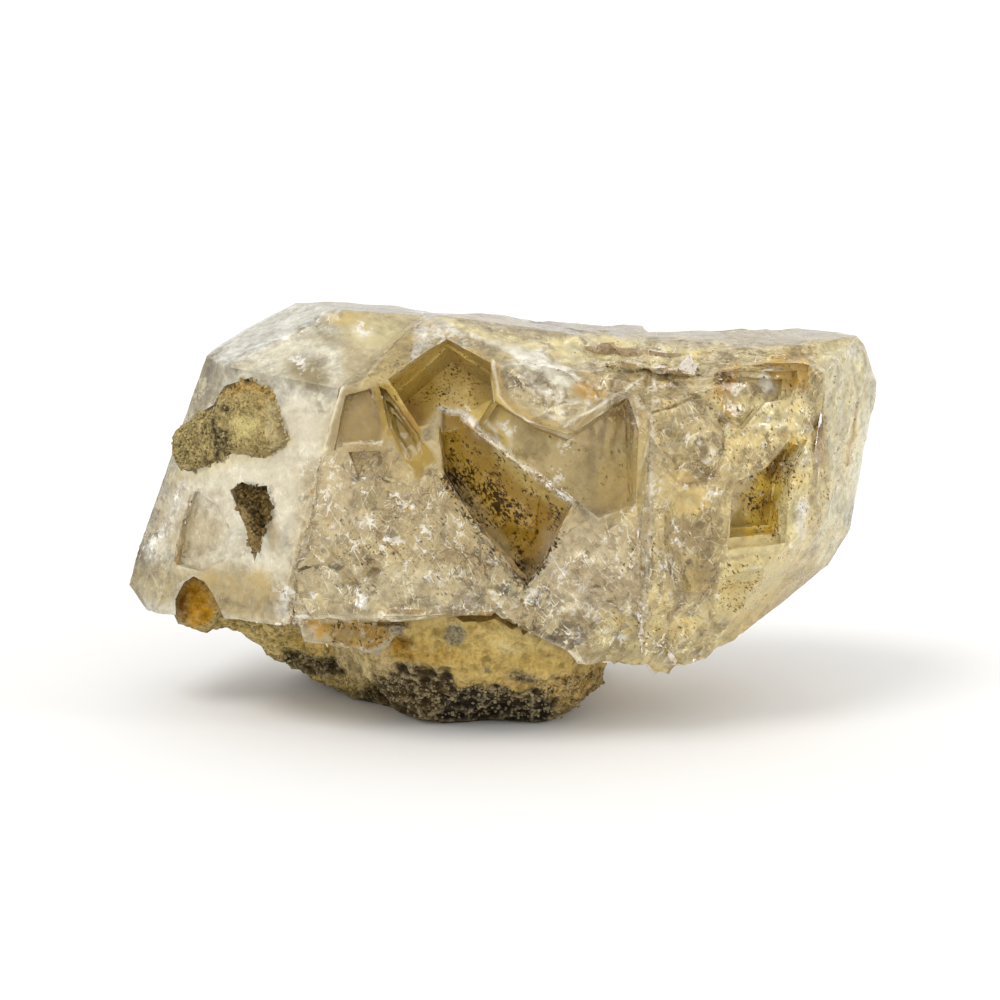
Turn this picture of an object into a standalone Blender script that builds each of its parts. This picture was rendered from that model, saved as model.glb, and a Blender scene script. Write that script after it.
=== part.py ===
"""Fenster quartz: a group of intergrown window quartz crystals on a remnant of its host rock.

The group is one piece of quartz. The edges of its crystals grew faster than the middles of their
faces, so the faces carry stepped hollows, the windows. The host rock is under it, a patch of the same
rock sits in the left face, and a dark chip of it is below that patch. The group rests on the flat
underside of the rock.

Every length is in millimetres and becomes metres in metres(). Corners that show from the front are
given as they are seen: how far right of the middle and how far up from the foot they lie in a view
that looks down a little, and how deep they lie in the specimen.
"""

from math import atan2, cos, radians, sin

import bmesh
import bpy
from mathutils import Matrix, Vector, noise
from mathutils.bvhtree import BVHTree

MILLIMETRE = 0.001

# The front view in which corners are read: its tilt, its distance from the foot, the depth of the
# foot and the height of the view's middle above the foot.
VIEW_TILT = radians(12)
VIEW_DISTANCE = 300.0
FOOT_DEPTH = -8.0
VIEW_MIDDLE = 23.8

GAP = 0.35  # between the quartz and each piece of rock
SAME_FACE_ANGLE = radians(4)  # hull faces that lean less than this from each other are one face
BACK = 26.0  # depth to which the crystals reach before their hidden faces are cut

# Each crystal: the corners that the front view shows, the corners of its back block, and the hidden
# faces cut from that block, each by a point on it and the azimuth and elevation that it looks to.
# The crystals grew side by side, so their prism faces look the same ways, 60 degrees apart.
LEFT_CRYSTAL = {
    "seen": (
        (-31.5, 39.2, -4.0),  # upper end of the left edge
        (-22.0, 44.8, 2.0),  # summit
        (-17.4, 44.1, -4.0),  # inner end of the shoulder facet
        (-29.4, 38.0, -8.5),  # outer end of the shoulder facet
        (-40.0, 15.0, 0.0),  # left tip
        (-39.0, 12.4, 1.0),
        (-36.9, 11.7, -3.0),
        (-34.3, 11.4, -5.0),
        (-22.5, 10.3, -13.0),  # where the front crystal begins
        (-17.4, 35.7, -14.5),
        (-7.7, 43.4, -1.0),  # right end of the top edge
    ),
    "back": ((-31.0, 37.0), (-22.0, 43.0), (-39.5, 14.0), (-38.0, 9.0), (8.0, 36.5), (8.0, 7.0)),
    "faces": (
        ((-38.6, 3.0, 17.0), 165, 13),
        ((-12.0, 20.5, 22.0), 105, 3),
        ((4.0, 20.0, 22.0), 45, -8),
        ((-14.0, 6.5, 42.0), 105, 50),
        ((-31.0, 6.0, 37.8), 165, 52),
        ((-14.0, 16.5, 9.0), 105, -40),
        ((-33.0, 9.0, 11.0), 150, -38),
    ),
}
FRONT_CRYSTAL = {
    "seen": (
        (-6.9, 43.5, -6.0),  # tip
        (-9.2, 42.4, -8.0),
        (-5.2, 42.7, -7.2),
        (-9.7, 38.6, -13.6),  # lower corner of the pale facet under the tip
        (-17.2, 35.7, -16.0),  # left shoulder
        (-19.6, 27.5, -17.5),
        (-21.6, 19.0, -18.0),
        (-23.0, 13.6, -16.5),
        (-22.2, 10.8, -14.5),  # lower left corner
        (-14.7, 11.3, -18.0),
        (-4.1, 10.9, -19.5),
        (2.2, 9.5, -18.0),
        (8.1, 6.3, -15.0),
        (15.1, 6.2, -13.0),  # lower right corner
        (14.8, 15.0, -20.0),
        (14.4, 23.4, -21.0),
        (15.8, 33.0, -18.5),
        (14.6, 35.2, -16.8),  # right shoulder
        (4.6, 40.9, -5.0),
        (8.5, 41.5, -3.0),
        (17.0, 40.2, -5.0),
        (-4.0, 24.0, -21.5),  # the middle of the face stands a little proud
    ),
    "back": ((-14.0, 40.0), (14.0, 40.0), (14.0, 8.0), (-14.0, 8.0)),
    "faces": (
        ((0.0, 17.0, 22.0), 105, 4),
        ((0.0, 5.0, 41.0), 105, 48),
        ((0.0, 13.0, 9.0), 105, -42),
        ((10.0, 17.0, 22.0), 45, -8),
    ),
}
RIGHT_CRYSTAL = {
    "seen": (
        (8.6, 41.2, -2.0),  # left end of the top edge
        (17.0, 40.2, -6.0),
        (21.1, 39.5, -7.0),
        (30.1, 40.5, -5.0),
        (37.9, 41.2, -1.5),
        (38.6, 40.4, 0.0),  # upper right corner
        (40.0, 36.4, 1.0),  # right shoulder
        (39.8, 33.9, 1.0),
        (38.6, 28.6, 1.0),
        (37.1, 20.6, 0.0),
        (34.7, 16.8, -1.0),
        (31.6, 14.9, -3.0),
        (28.7, 12.5, -5.0),
        (24.8, 8.7, -8.0),
        (21.9, 6.6, -10.0),
        (19.6, 6.0, -11.0),  # lowest corner
        (15.0, 6.3, -13.0),
        (13.0, 34.0, -17.6),
        (12.0, 12.0, -18.5),
        (25.4, 36.2, -13.5),
        (27.5, 16.0, -14.0),
        (34.6, 37.5, -8.5),
        (33.6, 22.0, -9.0),
    ),
    "back": (
        (38.5, 39.0),
        (39.5, 35.0),
        (37.5, 21.0),
        (30.0, 12.0),
        (12.0, 40.0),
        (12.0, 8.0),
    ),
    "faces": (
        ((38.6, 5.0, 31.0), 45, -6),
        ((22.0, 19.5, 22.0), 105, 4),
        ((24.0, 5.0, 40.4), 105, 47),
        ((36.0, 4.0, 40.0), 45, 50),
        ((24.0, 14.5, 11.5), 105, -42),
        ((33.0, 7.0, 17.0), 45, -38),
    ),
}
SMALL_CRYSTALS = (
    {  # the thin ledge under the front crystal's lower left corner
        "seen": (
            (-22.3, 11.2, -14.0),
            (-21.1, 8.7, -13.0),
            (-15.5, 8.0, -14.5),
            (-13.2, 7.2, -13.5),
            (-10.2, 10.2, -14.5),
            (-12.4, 12.5, -10.0),
            (-21.0, 12.5, -8.0),
            (-20.0, 9.2, -7.0),
            (-12.4, 8.4, -7.0),
        ),
        "back": (),
        "faces": (),
    },
    {  # the knob at the foot of the right crystal
        "seen": (
            (15.2, 6.6, -13.0),
            (16.0, 5.3, -12.0),
            (17.6, 5.1, -11.5),
            (18.9, 6.0, -11.5),
            (17.6, 8.0, -13.2),
            (17.0, 8.0, -7.0),
        ),
        "back": (),
        "faces": (),
    },
    {  # the layered shelf along the top
        "seen": (
            (5.6, 38.6, -10.5),
            (13.0, 38.2, -12.5),
            (21.0, 37.0, -12.5),
            (20.4, 39.5, -9.0),
            (10.4, 40.9, -6.5),
            (7.4, 40.8, -6.5),
            (12.0, 36.4, -8.0),
        ),
        "back": (),
        "faces": (),
    },
)
POD_MIDDLE, POD_RADII = (20.2, 29.0, -14.6), (3.5, 2.4, 4.4)  # the rounded lens in the right crystal

# What the front crystal lacks below: its lower edge is level and then drops to the right.
UNDERCUT_OUTLINE = (
    (-23.5, 10.4),
    (-4.1, 11.0),
    (-0.9, 11.3),
    (2.2, 9.6),
    (6.8, 7.7),
    (8.1, 6.3),
    (8.4, 0.0),
    (-23.5, 0.0),
)
UNDERCUT_DEPTHS = (-26.0, -9.5)

# Windows that the front view shows: the outline of each as it is seen, then the size of each step of
# the hollow as a share of the outline with the depth it reaches, and how much its floor rises to the
# right and upwards.
FRONT_WINDOWS = (
    {  # the smooth smoky floor right of the middle
        "outline": (
            (-1.0, 34.6),
            (3.6, 32.0),
            (7.0, 30.8),
            (13.4, 34.8),
            (14.6, 31.0),
            (14.2, 23.4),
            (10.3, 21.8),
            (7.8, 23.9),
            (1.4, 28.3),
            (-3.0, 31.4),
        ),
        "steps": ((1.0, 1.6), (0.94, 3.2)),
        "lean": (-0.10, 0.05),
    },
    {  # the deep brown hollow under the tip
        "outline": (
            (-12.2, 36.7),
            (-9.8, 38.5),
            (-5.9, 41.0),
            (-1.2, 38.4),
            (-0.8, 34.4),
            (-4.6, 32.6),
            (-8.9, 31.6),
        ),
        "steps": ((1.0, 2.6), (0.94, 5.6)),
        "lean": (-0.05, -0.12),
    },
    {  # the golden hollow, deepest along its lower left side
        "outline": (
            (-6.8, 33.2),
            (-4.4, 32.2),
            (4.4, 25.6),
            (7.5, 23.2),
            (4.0, 16.6),
            (2.7, 14.8),
            (-3.0, 21.6),
            (-6.2, 26.6),
        ),
        "steps": ((1.0, 1.0), (0.97, 2.8)),
        "lean": (0.20, 0.24),
    },
    {  # the smoky pane left of the hollows
        "outline": (
            (-16.7, 34.9),
            (-14.0, 35.7),
            (-12.9, 32.3),
            (-13.3, 30.0),
            (-16.8, 30.1),
            (-18.0, 29.0),
        ),
        "steps": ((1.0, 0.7),),
        "lean": (0.10, 0.0),
    },
    {  # the deeper pane below it
        "outline": ((-16.4, 28.9), (-13.0, 29.0), (-12.3, 26.6), (-15.4, 26.3)),
        "steps": ((1.0, 1.1),),
        "lean": (0.10, -0.05),
    },
    {  # the striped band between the pane and the brown hollow
        "outline": (
            (-13.1, 35.9),
            (-12.4, 35.6),
            (-8.9, 30.8),
            (-8.4, 28.2),
            (-9.6, 26.8),
            (-12.2, 31.8),
        ),
        "steps": ((1.0, 0.5), (0.74, 1.0), (0.44, 1.5)),
        "lean": (0.20, 0.0),
    },
    {  # the golden hollow at the upper right
        "outline": (
            (22.9, 37.8),
            (32.8, 38.4),
            (32.6, 35.2),
            (28.1, 34.2),
            (25.7, 31.3),
            (23.0, 32.2),
        ),
        "steps": ((1.0, 1.0), (0.84, 2.0), (0.64, 3.0)),
        "lean": (-0.05, 0.08),
    },
    {  # the stained hollow at the lower right
        "outline": (
            (25.0, 25.6),
            (28.4, 27.4),
            (30.9, 30.6),
            (32.6, 30.2),
            (30.7, 25.9),
            (30.2, 19.2),
            (24.2, 18.6),
        ),
        "steps": ((1.0, 1.0), (0.86, 2.4), (0.74, 4.0)),
        "lean": (0.14, 0.05),
    },
    {  # a shallow pane at the lower left
        "outline": (
            (-32.7, 24.8),
            (-30.6, 23.4),
            (-29.0, 20.4),
            (-29.8, 17.2),
            (-32.4, 16.2),
            (-34.8, 17.0),
            (-34.0, 21.0),
        ),
        "steps": ((1.0, 0.6),),
        "lean": (0.06, 0.03),
    },
)
# Windows in the large hidden faces: the least radius of a face that has one, the share of the face
# that is left inside each step, with the step's depth, and how far each step is off its middle.
WINDOW_LEAST_RADIUS = 5.0
HIDDEN_WINDOW_STEPS = ((0.85, 0.7), (0.76, 1.1), (0.58, 0.8), (0.46, 1.5))
WINDOW_DRIFT = 0.5
WINDOW_SEED = 5
LEAST_BACKWARD = 0.1  # a face is hidden if its direction has at least this much of +Y
CUTTER_REACH = 4.0  # how far the cutter of a hollow stands out of the face

# Shell-shaped breaks: where each is seen, its half length and half height, how far it bites in, and
# how far it is turned in the face.
FRONT_BREAKS = (
    (5.0, 35.0, 8.6, 5.2, 3.0, -24),
    (10.4, 36.9, 6.0, 2.6, 0.9, -20),
    (-8.0, 15.0, 13.0, 4.0, 0.9, 4),
    (6.0, 14.0, 11.0, 4.0, 0.9, -20),
    (21.0, 19.0, 4.2, 9.0, 1.0, 8),
    (25.5, 13.6, 6.0, 4.2, 0.9, 30),
    (34.4, 27.0, 2.0, 9.0, 0.7, 6),
    (-30.0, 14.0, 7.0, 3.0, 0.5, -8),
)

BREAK_ROUNDNESS = 2.2  # half thickness of the ellipsoid that makes a break, in bites

# Where the quartz is broken and not faceted: middle as seen, reach, and height of its chips.
BROKEN_ZONES = (
    ((-14.0, 20.0, -18.0), 9.0, 0.9),
    ((-1.0, 13.0, -19.5), 9.0, 0.8),
    ((-19.5, 13.0, -15.5), 5.0, 0.9),
    ((11.0, 13.0, -19.0), 9.0, 0.9),
    ((19.0, 22.0, -16.0), 8.0, 0.9),
    ((22.0, 10.5, -13.5), 8.0, 0.8),
    ((14.0, 38.5, -10.0), 9.0, 0.9),
    ((28.0, 40.0, -6.0), 8.0, 0.7),
    ((36.4, 30.0, -4.0), 8.0, 0.4),
    ((-29.0, 12.4, -8.0), 4.6, 0.4),
    ((6.0, 27.0, 18.0), 9.0, 0.9),
    ((6.0, 44.0, 8.0), 8.0, 0.8),
    ((30.0, 24.0, 16.0), 6.0, 0.5),
)
BROKEN_EDGE = 2.6  # length of the longest edge left in a broken zone
CLEAN_EDGE = 12.0  # and elsewhere
SPLITTING_ROUNDS = 4  # how often the long edges are halved
CHIP_SIZE = 4.2  # of the flat chips that break off
CHIP_SLOPE = 1.1  # how much one chip's face leans from the next
CHIP_LEVEL, CHIP_LEVEL_SPREAD, DEEPEST_CHIP = 0.6, 0.4, 1.4  # in heights of the zone's chips
CHIP_RISE = 2.5  # how steeply the chips grow from the edge of a zone to their full height
LEAN_KEY, LEVEL_KEY = 7.3, 3.1  # they draw a chip's lean and its level from its place

# The arch at the lower left, through which the rock shows, and how deep its tunnel reaches.
ARCH_OUTLINE = (
    (-34.8, 8.0),
    (-34.8, 13.2),
    (-33.9, 15.0),
    (-32.9, 15.6),
    (-31.8, 15.1),
    (-30.9, 13.4),
    (-30.0, 11.6),
    (-28.4, 8.0),
)
ARCH_DEPTHS = (-18.0, 6.0)

HOST_ROCK_FRONT = {
    "seen": (
        (-14.6, 5.0, -9.0),
        (-11.9, 2.7, -9.0),
        (-9.0, 0.8, -9.0),
        (-4.0, -0.8, -6.5),
        (3.0, -0.8, -6.0),
        (6.6, 1.6, -9.0),
        (9.2, 4.0, -8.0),
        (11.6, 5.9, -7.0),
        (-13.4, 8.0, -13.5),
        (-5.0, 5.0, -15.0),
        (4.0, 5.0, -14.2),
        (8.0, 6.5, -12.0),
        (-13.0, 12.4, -14.6),
        (-4.0, 12.6, -16.6),
        (0.0, 12.6, -16.8),
        (8.0, 8.6, -14.4),
        (-17.5, 10.8, -9.0),
    ),
    "hidden": ((-14.0, 8.0, -1.5), (7.0, 4.0, -1.5), (-14.0, 8.0, 15.0), (10.0, 6.0, 15.0)),
}
HOST_ROCK_REAR = {
    "seen": (
        (-27.0, 9.4, 0.0),
        (-24.6, 7.0, 1.0),
        (-21.4, 5.5, 1.0),
        (-17.6, 5.4, 1.0),
        (-14.6, 5.8, 0.0),
    ),
    "hidden": (
        (-20.0, 15.0, -1.5),
        (-14.0, 18.0, -1.5),
        (8.0, 18.0, -1.5),
        (12.0, 14.0, 3.0),
        (6.0, 0.0, -1.5),
        (-10.0, -2.0, -1.5),
        (-30.0, 9.0, 9.0),
        (-31.0, 4.0, 10.0),
        (-27.0, 13.0, 12.0),
        (-27.0, -2.0, 12.0),
        (10.0, 17.0, 13.0),
        (-18.0, 17.0, 13.0),
        (8.0, -2.0, 13.0),
    ),
}
ARCH_ROCK_MIDDLE, ARCH_ROCK_RADII = (-31.8, 2.0, 11.8), (4.6, 5.4, 4.2)
ROCK_GRAIN = 1.4  # size of the faces of the rock
ROCK_LUMPS = 1.0  # height of its lumps
ROCK_SEED = 1.7
# The lumps of all rock are coarse and fine: the size of each in grains and its share of the height.
COARSE_LUMPS = (5.5, 0.8)
FINE_LUMPS = (1.9, 0.45)

# The rock in the left face and the dark chip below it: outlines as seen, how deep they sit in the
# quartz and how far they stand out of it.
ROCK_PATCH = {
    "outline": (
        (-34.7, 27.9),
        (-34.2, 31.0),
        (-32.4, 32.7),
        (-30.7, 33.6),
        (-29.6, 35.6),
        (-27.2, 36.4),
        (-24.6, 35.0),
        (-24.0, 32.4),
        (-23.1, 30.0),
        (-25.2, 28.6),
        (-28.8, 29.2),
        (-31.4, 27.7),
        (-33.2, 27.1),
    ),
    "sunk": 1.5,
    "proud": 0.9,
    "grain": 0.85,
    "seed": 4.1,
}
ROCK_CHIP = {
    "outline": (
        (-28.7, 24.6),
        (-27.6, 25.4),
        (-26.6, 24.8),
        (-25.3, 25.0),
        (-25.2, 22.4),
        (-26.4, 17.6),
        (-27.1, 21.0),
    ),
    "sunk": 1.7,
    "proud": 0.3,
    "grain": 0.65,
    "seed": 6.3,
}
INLAY_LUMPS = 0.2
# The sides of such a piece: how far its foot, its sides and its top are inside the outline, and the
# heights between which the sides are straight, from the face of the quartz.
INLAY_FOOT, INLAY_SIDE, INLAY_TOP = 0.6, 0.2, 1.1
SIDE_HEIGHTS = (-0.2, 0.5)
MOST_NARROWING = 0.6  # in shares of the way to the middle
POCKET_ROOM = 0.4  # between such a piece and the sides of its pocket in the quartz
POCKET_DEPTH = 0.6  # between it and the pocket's floor
POCKET_TAPER = 0.3

QUARTZ_COLOUR, QUARTZ_ROUGHNESS, QUARTZ_TRANSMISSION = (0.86, 0.80, 0.66), 0.08, 0.9
QUARTZ_IOR = 1.544
HOST_ROCK_COLOUR = (0.48, 0.38, 0.22)
PATCH_COLOUR = (0.40, 0.33, 0.19)
CHIP_COLOUR = (0.12, 0.10, 0.07)
ROCK_ROUGHNESS = 0.92


def metres(point):
    return Vector(point) * MILLIMETRE


def seen(right, up, depth):
    """The place, in metres, of a point that the front view shows at right and up."""
    forward = Vector((0, cos(VIEW_TILT), -sin(VIEW_TILT)))
    upward = Vector((0, sin(VIEW_TILT), cos(VIEW_TILT)))
    eye = Vector((0, FOOT_DEPTH, 0)) + upward * VIEW_MIDDLE - forward * VIEW_DISTANCE
    sight = forward + Vector((1, 0, 0)) * (right / VIEW_DISTANCE)
    sight += upward * ((up - VIEW_MIDDLE) / VIEW_DISTANCE)
    return metres(eye + sight * ((depth - eye.y) / sight.y))


def sight_line(right, up):
    """The start and the direction of the line on which the front view shows a point."""
    start = seen(right, up, -VIEW_DISTANCE / 3)
    return start, (seen(right, up, 0) - start).normalized()


def looking(azimuth, elevation):
    """The direction of a face that looks to an azimuth from +X and an elevation, in degrees."""
    around, high = radians(azimuth), radians(elevation)
    return Vector((cos(around) * cos(high), sin(around) * cos(high), sin(high)))


def new_object(name, shape):
    """An object made from a bmesh, which is freed."""
    mesh = bpy.data.meshes.new(name)
    bmesh.ops.recalc_face_normals(shape, faces=shape.faces)
    if shape.calc_volume(signed=True) < 0:
        bmesh.ops.reverse_faces(shape, faces=shape.faces)
    shape.to_mesh(mesh)
    shape.free()
    made = bpy.data.objects.new(name, mesh)
    bpy.context.scene.collection.objects.link(made)
    return made


def bmesh_of(made):
    shape = bmesh.new()
    shape.from_mesh(made.data)
    return shape


def store(made, shape):
    shape.to_mesh(made.data)
    shape.free()
    made.data.update()


def hull_shape(corners):
    """A bmesh of the convex solid between corners, in metres, with each flat face in one."""
    shape = bmesh.new()
    for corner in corners:
        shape.verts.new(corner)
    made = bmesh.ops.convex_hull(shape, input=shape.verts)
    spare = set(made["geom_interior"] + made["geom_unused"])
    inside = [v for v in spare if isinstance(v, bmesh.types.BMVert)]
    bmesh.ops.delete(shape, geom=inside, context="VERTS")
    bmesh.ops.dissolve_limit(
        shape, angle_limit=SAME_FACE_ANGLE, verts=shape.verts, edges=shape.edges
    )
    return shape


def hull(name, corners):
    shape = hull_shape(corners)
    bmesh.ops.triangulate(shape, faces=shape.faces)
    return new_object(name, shape)


def crystal_shape(crystal):
    """A crystal's block, cut to its hidden faces."""
    corners = [seen(*corner) for corner in crystal["seen"]]
    corners += [metres((x, BACK, z)) for x, z in crystal["back"]]
    shape = hull_shape(corners)
    for place, azimuth, elevation in crystal["faces"]:
        bmesh.ops.bisect_plane(
            shape,
            geom=shape.verts[:] + shape.edges[:] + shape.faces[:],
            plane_co=metres(place),
            plane_no=looking(azimuth, elevation),
            clear_outer=True,
        )
        left = [v.co.copy() for v in shape.verts]
        shape.free()
        shape = hull_shape(left)
    return shape


def face_radius(face):
    middle = face.calc_center_median()
    radii = []
    for edge in face.edges:
        along = (edge.verts[1].co - edge.verts[0].co).normalized()
        radii.append((middle - edge.verts[0].co).cross(along).length)
    return min(radii)


def open_hidden_windows(shape):
    """Steps the large faces that look back or up inwards, in shares of their own outline."""
    shape.normal_update()
    large = WINDOW_LEAST_RADIUS * MILLIMETRE
    hidden = [f for f in shape.faces if f.normal.y > LEAST_BACKWARD]
    for face in [f for f in hidden if face_radius(f) > large]:
        middle, normal = face.calc_center_median(), face.normal.copy()
        outline = [v.co.copy() for v in face.verts]
        drift = normal.cross(noise.random_unit_vector()) * (WINDOW_DRIFT * MILLIMETRE)
        depth = 0.0
        for share, step in HIDDEN_WINDOW_STEPS:
            middle += drift
            for height in (depth, depth + step):
                bmesh.ops.inset_individual(shape, faces=[face], thickness=1e-6)
                for v, corner in zip(face.verts, outline):
                    v.co = middle + (corner - middle) * share - normal * (height * MILLIMETRE)
            depth += step


def make_crystal(name, crystal, with_windows):
    shape = crystal_shape(crystal)
    if with_windows:
        open_hidden_windows(shape)
    bmesh.ops.triangulate(shape, faces=shape.faces)
    return new_object(name, shape)


def grown_crystal(crystal, by):
    """A crystal without its windows, whose faces all stand further out."""
    shape = crystal_shape(crystal)
    bmesh.ops.triangulate(shape, faces=shape.faces)
    shape.normal_update()
    moves = [v.normal * (by * MILLIMETRE * v.calc_shell_factor()) for v in shape.verts]
    for v, move in zip(shape.verts, moves):
        v.co += move
    return new_object("room", shape)


def ellipsoid(name, place, radii, fineness, turned=None):
    """An ellipsoid with its radii in millimetres along the columns of turned."""
    shape = bmesh.new()
    bmesh.ops.create_icosphere(shape, subdivisions=fineness, radius=1.0)
    for v in shape.verts:
        stretched = metres([v.co[i] * radii[i] for i in range(3)])
        v.co = place + (turned @ stretched if turned else stretched)
    return new_object(name, shape)


def with_modifiers(made):
    """Makes what the modifiers of an object show into its own mesh."""
    graph = bpy.context.evaluated_depsgraph_get()
    shown = bpy.data.meshes.new_from_object(made.evaluated_get(graph))
    made.modifiers.clear()
    made.data = shown
    return made


def combine(made, other, operation, crossing=False):
    """Joins other to made, or cuts it from made, and removes other.

    crossing is for a solid whose own faces may cross each other.
    """
    change = made.modifiers.new(operation.title(), "BOOLEAN")
    change.operation = operation
    change.object = other
    change.solver = "EXACT"
    change.use_self = crossing
    with_modifiers(made)
    bpy.data.objects.remove(other)
    return made


def stacked(name, rings):
    """A closed solid through rings of points, each with as many points as the next."""
    shape = bmesh.new()
    rows = [[shape.verts.new(point) for point in ring] for ring in rings]
    count = len(rows[0])
    shape.faces.new(rows[0])
    shape.faces.new(rows[-1])
    for row, following in zip(rows, rows[1:]):
        for i in range(count):
            j = (i + 1) % count
            shape.faces.new((row[i], row[j], following[j], following[i]))
    bmesh.ops.triangulate(shape, faces=shape.faces)
    return new_object(name, shape)


def tunnel(name, outline, depths, narrower=0.0):
    """A cutter with an outline as seen, between two depths."""
    middle_right = sum(p[0] for p in outline) / len(outline)
    middle_up = sum(p[1] for p in outline) / len(outline)
    corners = []
    for right, up in outline:
        turn = atan2(up - middle_up, right - middle_right)
        corners.append((right - narrower * cos(turn), up - narrower * sin(turn)))
    rings = [[seen(right, up, depth) for right, up in corners] for depth in depths]
    return stacked(name, rings)


def face_frame(normal):
    """Two directions in a face that looks along normal: to the right of it and up it."""
    sideways = Vector((0, 0, 1)).cross(normal)
    sideways = Vector((1, 0, 0)) if sideways.length < 0.2 else sideways.normalized()
    return sideways, normal.cross(sideways)


def tree_of(made):
    shape = bmesh_of(made)
    tree = BVHTree.FromBMesh(shape)
    shape.free()
    return tree


def outline_on(tree, outline):
    """The outline laid on the quartz as a flat polygon, and the way it looks."""
    hits = [tree.ray_cast(*sight_line(right, up)) for right, up in outline]
    normal = sum((hit[1] for hit in hits), Vector()).normalized()
    middle = sum((hit[0] for hit in hits), Vector()) / len(hits)
    return [hit[0] - normal * (hit[0] - middle).dot(normal) for hit in hits], normal


def window_cutter(outline, normal, steps, lean):
    """A hollow's shape: the outline, in metres, sinks against normal in ever smaller steps."""
    middle = sum(outline, Vector()) / len(outline)
    right, up = face_frame(normal)

    def ring(share, depth, leaning):
        points = []
        for corner in outline:
            offset = (corner - middle) * share
            rise = (lean[0] * offset.dot(right) + lean[1] * offset.dot(up)) * leaning
            points.append(middle + offset + normal * (rise - depth * MILLIMETRE))
        return points

    rings = [ring(1.0, -CUTTER_REACH, 0)]
    reached = None
    for share, depth in steps:
        if reached is not None:
            rings.append(ring(share, reached, 0.5))
        rings.append(ring(share, depth, 0.5 if reached is None else 1))
        reached = depth
    return stacked("window", rings)


def cut_front_windows(quartz):
    for window in FRONT_WINDOWS:
        outline, normal = outline_on(tree_of(quartz), window["outline"])
        cutter = window_cutter(outline, normal, window["steps"], window["lean"])
        combine(quartz, cutter, "DIFFERENCE", True)


def cut_breaks(quartz):
    """Bites ellipsoids out of the surface, as a blow breaks shells out of quartz."""
    tree = tree_of(quartz)
    for right, up, length, height, bite, turn in FRONT_BREAKS:
        place, normal, _, _ = tree.ray_cast(*sight_line(right, up))
        sideways, upwards = face_frame(normal)
        frame = Matrix((sideways, upwards, normal)).transposed()
        frame = frame @ Matrix.Rotation(radians(turn), 3, "Z")
        thickness = BREAK_ROUNDNESS * bite
        middle = place + normal * ((thickness - bite) * MILLIMETRE)
        cutter = ellipsoid("break", middle, (length, height, thickness), 2, frame)
        combine(quartz, cutter, "DIFFERENCE", True)


def brokenness(place):
    """The height, in metres, of the chips that the quartz has at a place."""
    height = 0.0
    for middle, reach, chips in BROKEN_ZONES:
        share = 1 - (place - seen(*middle)).length / (reach * MILLIMETRE)
        height = max(height, chips * min(1.0, max(0.0, share) * CHIP_RISE))
    return height * MILLIMETRE


def chip_depth(place):
    """How deep the chips are at a place, in heights: flat cells, each leaning its own way."""
    size = CHIP_SIZE * MILLIMETRE
    cell = noise.voronoi(place / size)[1][0]
    lean = noise.cell_vector(cell * LEAN_KEY) - Vector((0.5, 0.5, 0.5))
    depth = CHIP_LEVEL + CHIP_LEVEL_SPREAD * noise.cell(cell * LEVEL_KEY)
    depth += CHIP_SLOPE * (place / size - cell).dot(lean)
    return min(DEEPEST_CHIP, max(0.0, depth))


def chip_surface(quartz):
    """Splits long edges, and sinks the points of the broken zones by flat chips."""
    shape = bmesh_of(quartz)
    for _ in range(SPLITTING_ROUNDS):
        long_edges = []
        for edge in shape.edges:
            broken = brokenness((edge.verts[0].co + edge.verts[1].co) / 2) > 0
            longest = BROKEN_EDGE if broken else CLEAN_EDGE
            if edge.calc_length() > longest * MILLIMETRE:
                long_edges.append(edge)
        if not long_edges:
            break
        bmesh.ops.subdivide_edges(shape, edges=long_edges, cuts=1)
        bmesh.ops.triangulate(shape, faces=shape.faces)
    shape.normal_update()
    for v in shape.verts:
        height = brokenness(v.co)
        if height > 0:
            v.co -= v.normal * (height * chip_depth(v.co))
    store(quartz, shape)


def roughen_rock(made, grain, lumps, seed):
    """Gives a rock even faces of one size, then lumps and pits."""
    remesh = made.modifiers.new("Grain", "REMESH")
    remesh.mode = "VOXEL"
    remesh.voxel_size = grain * MILLIMETRE
    with_modifiers(made)
    shape = bmesh_of(made)
    shape.normal_update()
    offset = Vector((seed, 2 * seed, 3 * seed))
    for v in shape.verts:
        height = 0.0
        for size, share in (COARSE_LUMPS, FINE_LUMPS):
            height += share * noise.noise(v.co / (size * grain * MILLIMETRE) + offset)
        v.co += v.normal * (lumps * MILLIMETRE * height)
    bmesh.ops.triangulate(shape, faces=shape.faces)
    store(made, shape)
    return made


def cut_level(made, height):
    """Removes what is below a height, in metres, and closes the cut with a flat face."""
    shape = bmesh_of(made)
    cut = bmesh.ops.bisect_plane(
        shape,
        geom=shape.verts[:] + shape.edges[:] + shape.faces[:],
        plane_co=(0, 0, height),
        plane_no=(0, 0, -1),
        clear_outer=True,
    )
    rim = [e for e in cut["geom_cut"] if isinstance(e, bmesh.types.BMEdge)]
    bmesh.ops.triangle_fill(shape, edges=rim, use_beauty=True)
    bmesh.ops.recalc_face_normals(shape, faces=shape.faces)
    store(made, shape)
    return made


def largest_body(made):
    """Keeps only the largest of the separate bodies that a cut has left."""
    shape = bmesh_of(made)
    left = set(shape.verts)
    bodies = []
    while left:
        body, front = set(), [left.pop()]
        while front:
            v = front.pop()
            body.add(v)
            for edge in v.link_edges:
                other = edge.other_vert(v)
                if other in left:
                    left.remove(other)
                    front.append(other)
        bodies.append(body)
    bodies.sort(key=len)
    bmesh.ops.delete(shape, geom=[v for body in bodies[:-1] for v in body], context="VERTS")
    store(made, shape)
    return made


def rock_hull(name, rock):
    return hull(name, [seen(*p) for p in rock["seen"]] + [metres(p) for p in rock["hidden"]])


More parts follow.
